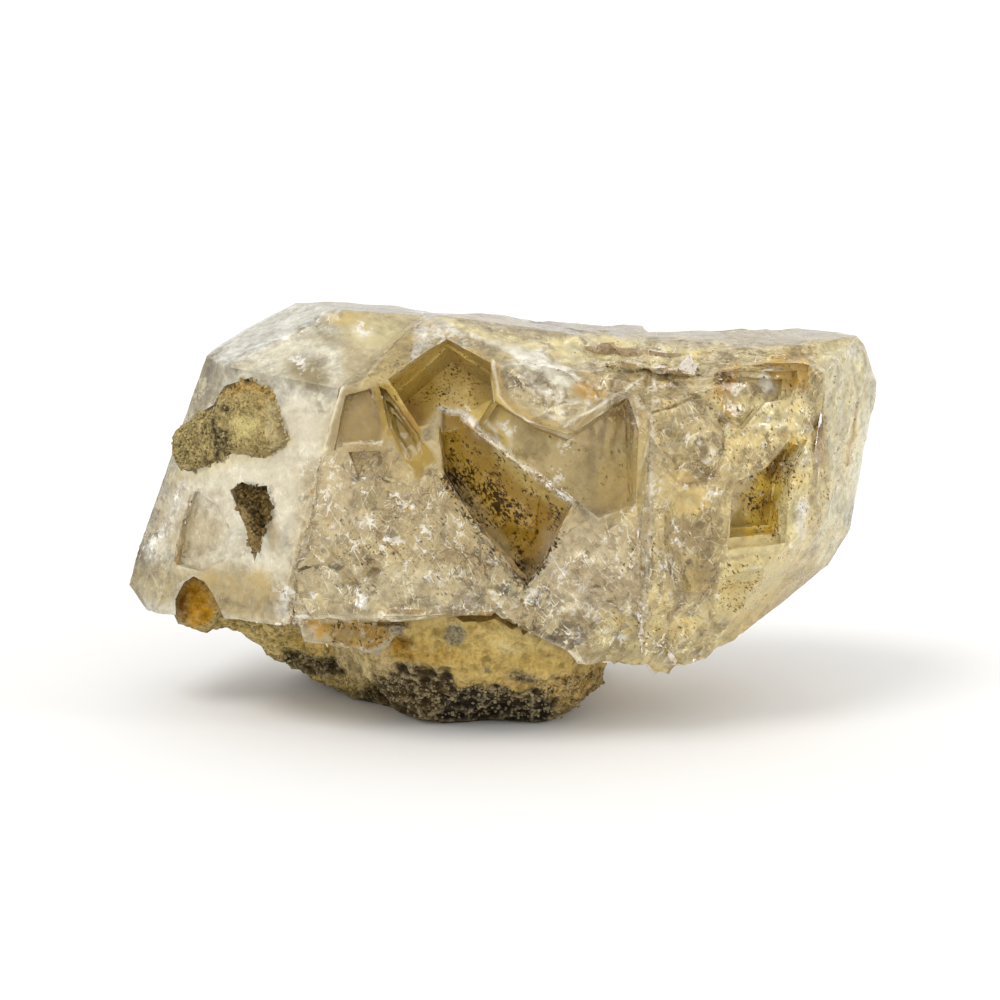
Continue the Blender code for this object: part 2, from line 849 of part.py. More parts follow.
def room_for(crystal):
    """A crystal and the gap around it, without the openings through which the rock shows."""
    room = grown_crystal(crystal, GAP)
    combine(room, tunnel("arch_room", ARCH_OUTLINE, ARCH_DEPTHS, GAP), "DIFFERENCE")
    lowered = [(right, up - GAP) for right, up in UNDERCUT_OUTLINE]
    near, far = UNDERCUT_DEPTHS
    return combine(room, tunnel("undercut_room", lowered, (near, far - GAP)), "DIFFERENCE")


def make_host_rock():
    """The rock under the crystals, with room for them cut out of its top."""
    rock = rock_hull("host_rock", HOST_ROCK_FRONT)
    combine(rock, rock_hull("rear", HOST_ROCK_REAR), "UNION")
    arch_rock = ellipsoid("arch_rock", metres(ARCH_ROCK_MIDDLE), ARCH_ROCK_RADII, 3)
    combine(rock, arch_rock, "UNION")
    roughen_rock(rock, ROCK_GRAIN, ROCK_LUMPS, ROCK_SEED)
    for crystal in (LEFT_CRYSTAL, FRONT_CRYSTAL, RIGHT_CRYSTAL):
        combine(rock, room_for(crystal), "DIFFERENCE")
    for small in SMALL_CRYSTALS:
        combine(rock, grown_crystal(small, GAP), "DIFFERENCE")
    return cut_level(largest_body(rock), 0.0)


def make_inlay(quartz, name, inlay):
    """A piece of rock that sits in a pocket of the quartz."""
    outline, normal = outline_on(tree_of(quartz), inlay["outline"])
    middle = sum(outline, Vector()) / len(outline)

    def ring(narrower, height):
        points = []
        for corner in outline:
            inward = middle - corner
            inward *= min(MOST_NARROWING, narrower * MILLIMETRE / inward.length)
            points.append(corner + inward + normal * (height * MILLIMETRE))
        return points

    sunk, proud = inlay["sunk"], inlay["proud"]
    rings = [ring(INLAY_FOOT, -sunk)]
    rings += [ring(INLAY_SIDE, height) for height in SIDE_HEIGHTS]
    rings += [ring(INLAY_TOP, proud)]
    piece = stacked(name, rings)
    roughen_rock(piece, inlay["grain"], INLAY_LUMPS, inlay["seed"])
    pocket_rings = (
        ring(POCKET_TAPER - POCKET_ROOM, -sunk - POCKET_DEPTH),
        ring(-POCKET_ROOM, 0.0),
        ring(-POCKET_ROOM, CUTTER_REACH),
    )
    combine(quartz, stacked("pocket", pocket_rings), "DIFFERENCE", True)
    return piece


def finish(made, colour, roughness, transmission=0.0):
    material = bpy.data.materials.new(made.name)
    material.use_nodes = True
    principled = material.node_tree.nodes["Principled BSDF"]
    principled.inputs["Base Color"].default_value = (*colour, 1)
    principled.inputs["Roughness"].default_value = roughness
    principled.inputs["Metallic"].default_value = 0.0
    principled.inputs["Transmission Weight"].default_value = transmission
    principled.inputs["IOR"].default_value = QUARTZ_IOR
    made.data.materials.clear()
    made.data.materials.append(material)


def centre_on_base(pieces):
    """Moves the pieces together so that the origin is below the middle of their box, at its foot."""
    points = [v.co for piece in pieces for v in piece.data.vertices]
    low = Vector([min(p[i] for p in points) for i in range(3)])
    high = Vector([max(p[i] for p in points) for i in range(3)])
    shift = Vector((-(low.x + high.x) / 2, -(low.y + high.y) / 2, -low.z))
    for piece in pieces:
        for v in piece.data.vertices:
            v.co += shift
        piece.data.update()
    print("moved by", [round(s / MILLIMETRE, 2) for s in shift], "mm")
    print("size", [round(s / MILLIMETRE, 1) for s in high - low], "mm")


def main():
    for old in list(bpy.data.objects):
        bpy.data.objects.remove(old)
    noise.seed_set(WINDOW_SEED)
    rock = make_host_rock()
    quartz = make_crystal("quartz_crystals", LEFT_CRYSTAL, True)
    combine(quartz, make_crystal("front", FRONT_CRYSTAL, False), "UNION", True)
    combine(quartz, make_crystal("right", RIGHT_CRYSTAL, True), "UNION", True)
    combine(quartz, tunnel("undercut", UNDERCUT_OUTLINE, UNDERCUT_DEPTHS), "DIFFERENCE", True)
    for small in SMALL_CRYSTALS:
        combine(quartz, make_crystal("small", small, False), "UNION", True)
    combine(quartz, ellipsoid("pod", seen(*POD_MIDDLE), POD_RADII, 2), "UNION", True)
    combine(quartz, tunnel("arch", ARCH_OUTLINE, ARCH_DEPTHS), "DIFFERENCE", True)
    cut_front_windows(quartz)
    cut_breaks(quartz)
    patch = make_inlay(quartz, "rock_patch", ROCK_PATCH)
    chip = make_inlay(quartz, "rock_chip", ROCK_CHIP)
    chip_surface(quartz)
    finish(quartz, QUARTZ_COLOUR, QUARTZ_ROUGHNESS, QUARTZ_TRANSMISSION)
    finish(rock, HOST_ROCK_COLOUR, ROCK_ROUGHNESS)
    finish(patch, PATCH_COLOUR, ROCK_ROUGHNESS)
    finish(chip, CHIP_COLOUR, ROCK_ROUGHNESS)
    centre_on_base((quartz, rock, patch, chip))


main()
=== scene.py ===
# %% [markdown]
# # A fenster quartz on its host rock
#
# This lesson dresses a hand-size group of window quartz. The real thing is one piece of quartz on a
# remnant of rock: clear to milky crystals whose edges grew faster than the middles of their faces, so the
# faces carry hollows with steps, and iron has stained the hollows golden and brown.
#
# The solids come from the CAD model and stay where they are. The cells below take them in turn, give each the
# surface that the real piece has, and say why it was done that way.

# %% Load the frame
from math import cos, radians, sin

import bmesh
import bpy
import numpy as np
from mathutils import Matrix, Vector, noise
from mathutils.bvhtree import BVHTree


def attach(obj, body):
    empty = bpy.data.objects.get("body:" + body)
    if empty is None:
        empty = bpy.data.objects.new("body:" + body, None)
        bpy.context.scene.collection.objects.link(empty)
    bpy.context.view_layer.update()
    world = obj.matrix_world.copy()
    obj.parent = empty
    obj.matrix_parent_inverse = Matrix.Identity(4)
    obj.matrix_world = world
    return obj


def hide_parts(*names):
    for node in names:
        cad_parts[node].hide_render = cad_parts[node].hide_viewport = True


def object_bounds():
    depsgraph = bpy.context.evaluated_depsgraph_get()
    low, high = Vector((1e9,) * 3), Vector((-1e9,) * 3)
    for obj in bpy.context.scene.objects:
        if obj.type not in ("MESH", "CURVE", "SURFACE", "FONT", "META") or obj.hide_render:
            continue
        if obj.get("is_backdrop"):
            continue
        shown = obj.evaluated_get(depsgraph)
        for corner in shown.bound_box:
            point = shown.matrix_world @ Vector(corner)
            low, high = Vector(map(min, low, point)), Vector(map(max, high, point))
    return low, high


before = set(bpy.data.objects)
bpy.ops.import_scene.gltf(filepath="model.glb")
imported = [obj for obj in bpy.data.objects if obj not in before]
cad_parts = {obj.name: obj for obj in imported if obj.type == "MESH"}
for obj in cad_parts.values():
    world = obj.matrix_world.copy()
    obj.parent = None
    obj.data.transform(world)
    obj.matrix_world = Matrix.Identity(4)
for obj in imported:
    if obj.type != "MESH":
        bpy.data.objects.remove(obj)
CAD_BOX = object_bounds()
MM = 0.001
print("CAD box in mm:", [[round(v / MM, 1) for v in corner] for corner in CAD_BOX])

# %% [markdown]
# ## The view
#
# The photo looks almost level at the long side of the group, from a little above. The group is 80 mm long and
# covers 750 pixels, which gives the scale. The camera stands 300 mm away. It is made first, because the marks
# of the stone are placed below by where they show in this view.

# %% Set up the camera
PHOTO_SIDE = 1000  # pixels
GROUP_LENGTH, GROUP_PIXELS = 80.0, 750  # in mm, and in the photo
PIXEL = GROUP_LENGTH / GROUP_PIXELS * MM  # the size of a pixel where the group stands
MIDDLE_COLUMN, FOOT_ROW = 502, 723  # where the middle of the group and its lowest point show
VIEW_TILT = radians(12)
VIEW_DISTANCE = 300 * MM
FOOT = Vector((0.09, -9.19, 0)) * MM  # the point on the resting surface that the view is measured from
SENSOR = 36.0
NEAREST_SEEN, FARTHEST_SEEN = 10 * MM, 10.0

forward = Vector((0, cos(VIEW_TILT), -sin(VIEW_TILT)))
upward = Vector((0, sin(VIEW_TILT), cos(VIEW_TILT)))
sideways = Vector((1, 0, 0))
middle_height = (FOOT_ROW - PHOTO_SIDE / 2) * PIXEL
eye = FOOT + upward * middle_height - forward * VIEW_DISTANCE
eye -= sideways * ((MIDDLE_COLUMN - PHOTO_SIDE / 2) * PIXEL)

view = bpy.data.cameras.new("photo_view")
view.sensor_width = SENSOR
view.lens = SENSOR * VIEW_DISTANCE / (PHOTO_SIDE * PIXEL)
view.clip_start, view.clip_end = NEAREST_SEEN, FARTHEST_SEEN
camera = bpy.data.objects.new("photo_view", view)
camera.location = eye
camera.rotation_euler = (radians(90) - VIEW_TILT, 0, 0)
bpy.context.scene.collection.objects.link(camera)
bpy.context.scene.camera = camera
print("lens in mm:", round(view.lens, 1))

# %% [markdown]
# ## Floor and light
#
# The photo is a plain one on white. A large pale floor fills the view here, and the light is soft: an even
# pale sky, one wide lamp high up on the left and a weak one low on the right. Both lamps are as even as the
# sun, so that the floor stays white to its far edge. Quartz shows its edges only where something darker than
# the floor is mirrored or bent into view, so the sky is a little darker than the lit floor.

# %% Make the floor and the lamps
FLOOR_SIDE, FLOOR_DROP = 8.0, 0.02 * MM
SKY_COLOUR, SKY_STRENGTH = (1.0, 0.99, 0.97), 0.94
LAMPS = {  # the side that each lamp stands on, its strength and how wide it looks, in degrees
    "key_lamp": ((-0.45, -0.40, 1.0), 0.9, 24),
    "side_lamp": ((0.9, -0.35, 0.45), 0.4, 10),
}


def deselect():
    if bpy.context.mode != "OBJECT":
        bpy.ops.object.mode_set(mode="OBJECT")
    bpy.ops.object.select_all(action="DESELECT")


def alone(piece):
    """Makes a piece the only one selected, and active."""
    deselect()
    piece.select_set(True)
    bpy.context.view_layer.objects.active = piece
    return piece


deselect()
bpy.ops.mesh.primitive_plane_add(size=FLOOR_SIDE, location=(0, 0, -FLOOR_DROP))
floor = bpy.context.object
floor.name = "floor"
floor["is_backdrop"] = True

for name, (side, strength, width) in LAMPS.items():
    lamp = bpy.data.lights.new(name, "SUN")
    lamp.energy = strength
    lamp.angle = radians(width)
    holder = bpy.data.objects.new(name, lamp)
    holder.rotation_euler = (-Vector(side)).to_track_quat("-Z", "Y").to_euler()
    bpy.context.scene.collection.objects.link(holder)

sky = bpy.data.worlds.new("sky")
sky.use_nodes = True
backdrop = sky.node_tree.nodes["Background"]
backdrop.inputs["Color"].default_value = (*SKY_COLOUR, 1)
backdrop.inputs["Strength"].default_value = SKY_STRENGTH
bpy.context.scene.world = sky
bpy.context.scene.view_settings.view_transform = "Standard"
print("lamps:", ", ".join(LAMPS))

# %% [markdown]
# ## Writing materials as sums
#
# A material is a graph of nodes, but most of it is arithmetic: a mask times a strength, one minus a mask. The
# small class below wraps the output of a node and adds a Math node for each operator, so that a formula can
# be read as one. Colours are mixed by Mix nodes, because a Math node would turn them grey.

# %% A class for sockets
def linear(red, green, blue):
    """A colour as it is seen on a screen, each part from 0 to 255, as the renderer counts light."""
    parts = []
    for part in (red, green, blue):
        share = part / 255
        parts.append(share / 12.92 if share <= 0.04045 else ((share + 0.055) / 1.055) ** 2.4)
    return (*parts, 1.0)


class Wire:
    """The output of a node. Operators on it add Math nodes."""

    def __init__(self, recipe, output):
        self.recipe = recipe
        self.output = output

    def maths(self, operation, first, second):
        return self.recipe.node("ShaderNodeMath", {"operation": operation}, {0: first, 1: second})

    def __add__(self, other):
        return self.maths("ADD", self, other)

    def __sub__(self, other):
        return self.maths("SUBTRACT", self, other)

    def __rsub__(self, other):
        return self.maths("SUBTRACT", other, self)

    def __mul__(self, other):
        return self.maths("MULTIPLY", self, other)

    __radd__ = __add__
    __rmul__ = __mul__

    def larger(self, other):
        return self.maths("MAXIMUM", self, other)

    def also(self, output):
        """Another output of the same node."""
        return Wire(self.recipe, self.output.node.outputs[output])

    def between(self, low, high):
        """0 below low and 1 above high, and a smooth rise from one to the other."""
        sockets = {"Value": self, "From Min": low, "From Max": high}
        return self.recipe.node("ShaderNodeMapRange", {"interpolation_type": "SMOOTHSTEP"}, sockets)


print("mid grey on a screen is", round(linear(128, 128, 128)[0], 2), "as light")

# %% A class for materials
class Recipe:
    """A material whose nodes are made by one method."""

    def __init__(self, name):
        self.material = bpy.data.materials.new(name)
        self.material.use_nodes = True
        self.tree = self.material.node_tree
        self.tree.nodes.clear()
        self.exit = self.tree.nodes.new("ShaderNodeOutputMaterial")

    def node(self, kind, settings=None, sockets=None, output=0):
        made = self.tree.nodes.new(kind)
        for key, value in (settings or {}).items():
            setattr(made, key, value)
        for key, value in (sockets or {}).items():
            if isinstance(value, Wire):
                self.tree.links.new(value.output, made.inputs[key])
            else:
                made.inputs[key].default_value = value
        return Wire(self, made.outputs[output])

    def place(self):
        return self.node("ShaderNodeTexCoord", output="Object")

    def painted(self, name, output="Fac"):
        return self.node("ShaderNodeAttribute", {"attribute_name": name}, output=output)

    def mixed(self, share, first, second):
        """A colour between two colours."""
        return self.node("ShaderNodeMix", {"data_type": "RGBA"}, {0: share, 6: first, 7: second}, 2)

    def noise(self, place, size, detail=3.0, bend=0.0, rough=0.55):
        """Noise whose blots are about size, in metres. It is mostly between 0.4 and 0.6."""
        sockets = {"Vector": place, "Scale": 1 / size, "Detail": detail, "Distortion": bend}
        return self.node("ShaderNodeTexNoise", {}, {**sockets, "Roughness": rough})

    def part(self, colour, index):
        """One of the three parts of a colour."""
        return self.node("ShaderNodeSeparateColor", {}, {"Color": colour}, index)

    def cells(self, place, size):
        """A colour of its own for each cell of a pattern, whose cells are about size, in metres."""
        return self.node("ShaderNodeTexVoronoi", {}, {"Vector": place, "Scale": 1 / size}, "Color")

    def lines(self, place, size, bend):
        """A net of thin curved lines, where it is 1, with openings of about size, in metres."""
        sockets = {"Vector": place, "Scale": 1 / size, "Detail": 0.0, "Distortion": bend}
        sockets |= {"Offset": 1.0, "Gain": 2.0}
        return self.node("ShaderNodeTexNoise", {"noise_type": "RIDGED_MULTIFRACTAL"}, sockets)

    def vectors(self, operation, first, second=None, scale=None):
        """A sum, a scaling or a normalizing of vectors."""
        sockets = {0: first}
        if second is not None:
            sockets[1] = second
        if scale is not None:
            sockets["Scale"] = scale
        return self.node("ShaderNodeVectorMath", {"operation": operation}, sockets)

    def scaled(self, colour, share):
        """A colour made brighter or darker."""
        return self.vectors("SCALE", colour, scale=share)

    def pushes(self, colour, reach):
        """Small pushes this way and that, as far as half of reach, from the colours of noise or cells."""
        return self.scaled(self.vectors("SUBTRACT", colour, (0.5, 0.5, 0.5)), reach)

    def turned(self, place, turn, stretch):
        """The place in a pattern that is turned, in radians, and drawn out by shares."""
        sockets = {"Vector": place, "Rotation": turn, "Scale": stretch}
        return self.node("ShaderNodeMapping", {"vector_type": "TEXTURE"}, sockets)

    def bump(self, height, depth, strength, under=None):
        """A normal from a height of 0 to 1, where depth is what 1 stands for, in metres."""
        sockets = {"Height": height, "Distance": depth, "Strength": strength}
        if under is not None:
            sockets["Normal"] = under
        return self.node("ShaderNodeBump", {}, sockets)

    def surface(self, **sockets):
        """A Principled surface. A name's underscores are the socket's spaces."""
        named = {key.replace("_", " "): value for key, value in sockets.items()}
        return self.node("ShaderNodeBsdfPrincipled", {}, named)

    def finish(self, surface, volume=None):
        self.tree.links.new(surface.output, self.exit.inputs["Surface"])
        if volume is not None:
            self.tree.links.new(volume.output, self.exit.inputs["Volume"])
        return self.material


FLOOR_DARK, FLOOR_LIGHT, FLOOR_BLOTS = (0.90, 0.90, 0.90, 1), (0.92, 0.92, 0.92, 1), 40 * MM
floor_paint = Recipe("floor_paint")
floor_grain = floor_paint.noise(floor_paint.place(), FLOOR_BLOTS, 2.0)
floor_colour = floor_paint.mixed(floor_grain, FLOOR_DARK, FLOOR_LIGHT)
floor.data.materials.append(floor_paint.finish(floor_paint.surface(Base_Color=floor_colour, Roughness=0.9)))
print("floor painted")

# %% [markdown]
# ## The skin of the quartz
#
# On the real group a face is flat as glass right up to where it is broken, and there it has broken in shells
# and splinters. A subdivision surface would round the flat faces. So the skin is a copy of the CAD solid
# whose long edges are halved again and again, which leaves flat faces flat, and it is then mostly the broken
# parts that are moved. The side that the photo shows gets the finest net, because its marks are small.

# %% Measure a mesh
SAME_PLACE = 0.001 * MM


def vectors_in(rows, key):
    """The vectors that a mesh holds, one in each row of an array."""
    values = np.empty(len(rows) * 3)
    rows.foreach_get(key, values)
    return values.reshape(-1, 3)


def points_of(piece):
    return vectors_in(piece.data.vertices, "co")


def normals_of(piece):
    return vectors_in(piece.data.vertex_normals, "vector")


def move_points(piece, points):
    piece.data.vertices.foreach_set("co", points.ravel())
    piece.data.update()


def merged_copy(node, name):
    """A copy of a CAD node whose loose triangles are joined to one shell."""
    piece = bpy.data.objects.new(name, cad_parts[node].data.copy())
    bpy.context.scene.collection.objects.link(piece)
    piece.data.materials.clear()
    alone(piece)
    bpy.ops.object.mode_set(mode="EDIT")
    bpy.ops.mesh.select_all(action="SELECT")
    bpy.ops.mesh.remove_doubles(threshold=SAME_PLACE)
    bpy.ops.object.mode_set(mode="OBJECT")
    bpy.ops.mesh.customdata_custom_splitnormals_clear()
    return piece


skin = merged_copy("quartz_crystals", "quartz_skin")
print("the solid of the quartz has", len(skin.data.polygons), "faces")

# %% Halve the long edges
GLANCING, FULL = 0.05, 0.45  # a face gets a finer net the more it turns to the eye, from glancing to full


def halve_edges(piece, rounds, too_long):
    """Halves, in each round, the edges that too_long picks, and cuts the faces into triangles again."""
    alone(piece)
    bpy.ops.object.mode_set(mode="EDIT")
    bpy.context.tool_settings.mesh_select_mode = (False, True, False)
    for _ in range(rounds):
        net = bmesh.from_edit_mesh(piece.data)
        picks = too_long(net.edges)
        for edge, picked in zip(net.edges, picks):
            edge.select_set(picked)
        bmesh.update_edit_mesh(piece.data)
        if not any(picks):
            break
        bpy.ops.mesh.subdivide(number_cuts=1, smoothness=0)
        bpy.ops.mesh.select_all(action="SELECT")
        bpy.ops.mesh.quads_convert_to_tris(quad_method="SHORTEST_DIAGONAL", ngon_method="BEAUTY")
        bpy.ops.mesh.select_all(action="DESELECT")
    bpy.ops.object.mode_set(mode="OBJECT")


def halve_long_edges(piece, shown_edge, hidden_edge, rounds):
    """Halves the edges that are longer than is wanted on their side of the piece."""

    def too_long(edges):
        picks = []
        for edge in edges:
            to_eye = (eye - edge.verts[0].co).normalized()
            turned = max((face.normal.dot(to_eye) for face in edge.link_faces), default=0)
            share = min(1, max(0, (turned - GLANCING) / (FULL - GLANCING)))
            picks.append(edge.calc_length() > hidden_edge + (shown_edge - hidden_edge) * share)
        return picks

    halve_edges(piece, rounds, too_long)


halve_long_edges(skin, shown_edge=0.6 * MM, hidden_edge=2.2 * MM, rounds=9)
print("the skin of the quartz has", len(skin.data.polygons), "faces")

# %% [markdown]
# ## Where things are in the photo
#
# A mark of the stone is described by the pixels where the photo shows it. To put it on the stone, each point
# of the skin is followed back to the photo's eye, which gives the pixel where it shows. Only what faces the
# eye is marked, so nothing is drawn through to the back.

# %% Find the pixel of each point
FACING_FROM, FACING_TO = -0.05, 0.2


def pixels_of(points):
    """The column and the row of the photo in which points show."""
    sight = points - np.array(eye)
    ahead = sight @ np.array(forward)
    column = sight @ np.array(sideways) / ahead * VIEW_DISTANCE / PIXEL + PHOTO_SIDE / 2
    row = PHOTO_SIDE / 2 - sight @ np.array(upward) / ahead * VIEW_DISTANCE / PIXEL
    return column, row


def rise(values, low, high):
    """0 below low and 1 above high, and a smooth rise from one to the other."""
    share = np.clip((values - low) / (high - low), 0, 1)
    return share * share * (3 - 2 * share)


def facing_of(points, normals):
    """1 where the skin looks to the photo's eye, and 0 where it looks away."""
    sight = np.array(eye) - points
    sight /= np.linalg.norm(sight, axis=1)[:, None]
    return rise((sight * normals).sum(axis=1), FACING_FROM, FACING_TO)


def noise_at(points, size, seed=0.0):
    """Noise from about -1 to 1 whose blots are about size, in metres."""
    shift = Vector((seed, seed * 2, seed * 3))
    return np.array([noise.noise(Vector(point) / size + shift) for point in points])


columns, rows = pixels_of(points_of(skin))
print("the skin shows in columns", round(columns.min()), "to", round(columns.max()))
print("and in rows", round(rows.min()), "to", round(rows.max()))

# %% [markdown]
# ## Shapes for marks
#
# A mark is an area with corners, an oval spot or a line, each with a soft edge. Its path is written as the
# column and the row of each corner. Stains and cracks never have a clean outline, so the pixel of each point
# is first pushed about a little by noise.

# %% Areas, spots and lines with soft edges
WANDER_SIZE = 1.6 * MM
WANDER_SEEDS = ((3.3, 1.3), (8.1, 6.1))  # for columns and rows, each at two sizes of noise


def corners(path):
    """The corners of a path, which is written as "column,row column,row" or is a list already."""
    if not isinstance(path, str):
        return path
    return [tuple(int(number) for number in corner.split(",")) for corner in path.split()]


def off_segment(column, row, start, end):
    """How many pixels points are off the line from start to end."""
    along_x, along_y = end[0] - start[0], end[1] - start[1]
    share = ((column - start[0]) * along_x + (row - start[1]) * along_y) / (along_x**2 + along_y**2)
    share = np.clip(share, 0, 1)
    return np.hypot(column - start[0] - share * along_x, row - start[1] - share * along_y)


def nearest_stretch(column, row, stretches):
    """How many pixels points are off the nearest of some straight stretches."""
    nearest = np.full(len(column), 1e9)
    for start, end in stretches:
        nearest = np.minimum(nearest, off_segment(column, row, start, end))
    return nearest


def area(path, soft=6):
    """A mark that is 1 inside its corners, with an edge that is soft pixels wide."""
    starts = corners(path)
    sides = list(zip(starts, starts[1:] + starts[:1]))

    def mark(column, row):
        nearest = nearest_stretch(column, row, sides)
        inside = np.zeros(len(column), bool)
        for start, end in sides:
            if start[1] != end[1]:
                crossing = start[0] + (row - start[1]) / (end[1] - start[1]) * (end[0] - start[0])
                inside ^= ((start[1] > row) != (end[1] > row)) & (column < crossing)
        return rise(np.where(inside, nearest, -nearest), -soft / 2, soft / 2)

    return mark


def spot(x, y, wide, high, turn=0, soft=8):
    """A mark that is 1 inside an oval, which is turned clockwise by degrees."""

    def mark(column, row):
        along = ((column - x) * cos(radians(turn)) + (row - y) * sin(radians(turn))) / wide
        across = ((row - y) * cos(radians(turn)) - (column - x) * sin(radians(turn))) / high
        return rise((1 - np.hypot(along, across)) * min(wide, high), -soft / 2, soft / 2)

    return mark


def line(path, wide=3, soft=3):
    """A mark that is 1 along a line."""
    starts = corners(path)

    def mark(column, row):
        nearest = nearest_stretch(column, row, zip(starts, starts[1:]))
        return 1 - rise(nearest, (wide - soft) / 2, (wide + soft) / 2)

    return mark


def wandering(points, reach):
    """The column and the row in which points show, pushed about by noise of two sizes."""
    pushed = []
    for pixels, (seed, fine_seed) in zip(pixels_of(points), WANDER_SEEDS):
        pixels = pixels + noise_at(points, WANDER_SIZE, seed) * reach
        pushed.append(pixels + noise_at(points, WANDER_SIZE / 3, fine_seed) * reach / 3)
    return pushed


def strongest(marks, column, row):
    """The largest of some marks, each times its strength."""
    amount = np.zeros(len(column))
    for mark, strength in marks:
        amount = np.maximum(amount, mark(column, row) * strength)
    return amount


print("in its middle and far off it, a spot is", spot(0, 0, 9, 9)(np.array([0, 40]), np.array([0, 0])))

# %% [markdown]
# ## Where the lines run
#
# The most striking lines of the stone are rims: the lips of the hollows, the curved edge of the large shell
# and the long edges of the crystals. They are finer than the net, so the net is halved again along each.

# %% Make the net finer along the lines
SHELL_RIM = "493,361 498,395 515,414 543,428 568,437"
SHELL_RIDGE = "504,350 536,360 570,374 600,388"
STRAIGHT_RIM = "564,426 618,394 642,378"
PLATE_RIM = "440,409 465,414 477,430 498,445 515,460 530,470 573,503"
FRONT_EDGE = "343,386 332,420 318,470 300,530 290,570 286,600"
RIGHT_EDGE = "655,378 652,440 650,520 644,600 641,650"
TIP_EDGES = "361,384 386,353 415,323 436,314"
SHOULDER_EDGE = "226,366 262,348 300,330 338,314"
PANE_RIM = "343,443 368,444 381,445 388,424"
LEDGE_RIM = "724,433 746,428 786,424 812,430"
LOWER_RIM = "295,618 380,617 464,618 498,615 522,632 547,639 568,651 583,663"
UPPER_CRACK = "620,372 642,370 670,373 698,370"
LOOPED_CRACK = "653,413 675,406 698,396 686,391 662,375"
POD_MIDDLE, POD_RADII = (690, 442), (33, 42)
POD_RIM = [
    (POD_MIDDLE[0] + POD_RADII[0] * cos(radians(turn)), POD_MIDDLE[1] + POD_RADII[1] * sin(radians(turn)))
    for turn in range(-150, 160, 20)
]
FRESH_CRACKS = (
    "384,385 404,414 424,444", "374,392 392,422 410,452", "376,528 390,546 405,562",
    "499,424 510,432 512,450", "635,399 650,414 652,430 646,452 640,468", "838,352 842,420 836,500",
    "857,404 852,432 849,463", "443,412 443,450 446,490",
)
LINES = (
    SHELL_RIM, SHELL_RIDGE, STRAIGHT_RIM, PLATE_RIM, FRONT_EDGE, RIGHT_EDGE, TIP_EDGES, SHOULDER_EDGE,
    PANE_RIM, LEDGE_RIM, LOWER_RIM, UPPER_CRACK, LOOPED_CRACK, POD_RIM, *FRESH_CRACKS,
)
LINE_EDGE, LINE_REACH = 0.26 * MM, 8  # the net's edges along a line, and how many pixels wide this goes


def looks_to_eye(edge):
    return any(face.normal.dot(eye - edge.verts[0].co) > 0 for face in edge.link_faces)


def halve_near_lines(piece, rounds):
    """Halves the edges that show near a line and are longer than is wanted there."""
    near_line = [(line(path, LINE_REACH, 1), 1.0) for path in LINES]

    def too_long(edges):
        middles = np.array([(edge.verts[0].co + edge.verts[1].co) / 2 for edge in edges])
        near = strongest(near_line, *pixels_of(middles)) > 0.5
        picks = []
        for edge, is_near in zip(edges, near):
            picks.append(bool(is_near) and edge.calc_length() > LINE_EDGE and looks_to_eye(edge))
        return picks

    halve_edges(piece, rounds, too_long)


halve_near_lines(skin, rounds=2)
print("quartz skin:", len(skin.data.polygons), "faces")

# %% [markdown]
# ## Breaking the broken parts
#
# Quartz has no cleavage. It breaks in shells, which are shallow dishes that meet in sharp ridges. A cell
# pattern whose height is the squared distance from the middle of each cell has just that shape. Two of them,
# one finer than the other, are pressed into the parts that the photo shows broken. Elsewhere the skin strays
# by less than a tenth of a millimetre, so that no edge is as straight as a ruler.

# %% Press shells into the broken parts
BROKEN_PARTS = (  # the mark and how deep it is broken
    (area("296,500 318,462 352,470 386,478 432,480 448,500 492,548 524,590 545,580 575,530 640,526 652,490 "
          "668,480 700,500 716,560 704,620 720,640 684,668 640,664 520,628 480,612 280,606", 14), 1.0),
    (area("500,335 620,338 712,352 704,392 650,372 560,366", 12), 1.0),
    (area("490,345 575,372 600,392 560,380 505,356", 8), 0.6),
    (area("812,345 862,340 872,380 866,450 838,480 812,420", 16), 0.6),
    (area("600,640 716,622 720,652 660,676 600,668", 12), 1.0),
    (area("126,560 180,500 190,560 176,600 130,612", 16), 0.5),
    (area("656,384 716,376 720,470 716,560 690,560 660,480", 12), 0.6),
    (spot(298, 604, 18, 26, 0, 12), 1.0),
    (area("300,618 390,620 394,638 372,652 320,644", 5), 0.9),
    (line("198,488 186,528 178,562 196,572", 14, 8), 0.7),
    (line("420,326 448,335 480,345 498,358", 12, 8), 0.8),
    (line("343,444 388,446", 8, 6), 0.5),
    (line("455,411 477,428 498,445 530,470 573,503", 11, 8), 0.7),
    (line("448,492 476,520 500,552 524,584", 8, 6), 0.7),
)
SHELLS = ((3.6 * MM, 0.8 * MM), (1.7 * MM, 0.45 * MM))  # size and depth
WOBBLES = ((2.4 * MM, 0.07 * MM), (0.9 * MM, 0.05 * MM))  # how far edges stray from straight lines
SQUARED = dict(distance_metric="DISTANCE_SQUARED", noise_intensity=1.0)  # makes each cell a dish
HIDDEN_BROKEN_SIZE = 9 * MM  # of the broken parts on the sides that the photo doesn't show


def weigh(piece, group_name, weights):
    """Stores how much each point takes part in a change, as a vertex group."""
    group = piece.vertex_groups.new(name=group_name)
    for level in range(1, 11):
        chosen = np.nonzero(np.round(weights * 10) == level)[0]
        group.add([int(i) for i in chosen], level / 10, "REPLACE")


def press(piece, kind, size, depth, group_name, middle=0.5, **settings):
    """Moves the skin along its normals by a pattern, and keeps the result."""
    texture = bpy.data.textures.new(f"{kind.lower()}_{round(size / MM, 2)}", kind)
    texture.noise_scale = size
    for key, value in settings.items():
        setattr(texture, key, value)
    alone(piece)
    change = piece.modifiers.new("press", "DISPLACE")
    change.texture = texture
    change.texture_coords = "LOCAL"
    change.strength = depth
    change.mid_level = middle
    change.vertex_group = group_name
    bpy.ops.object.modifier_apply(modifier=change.name)


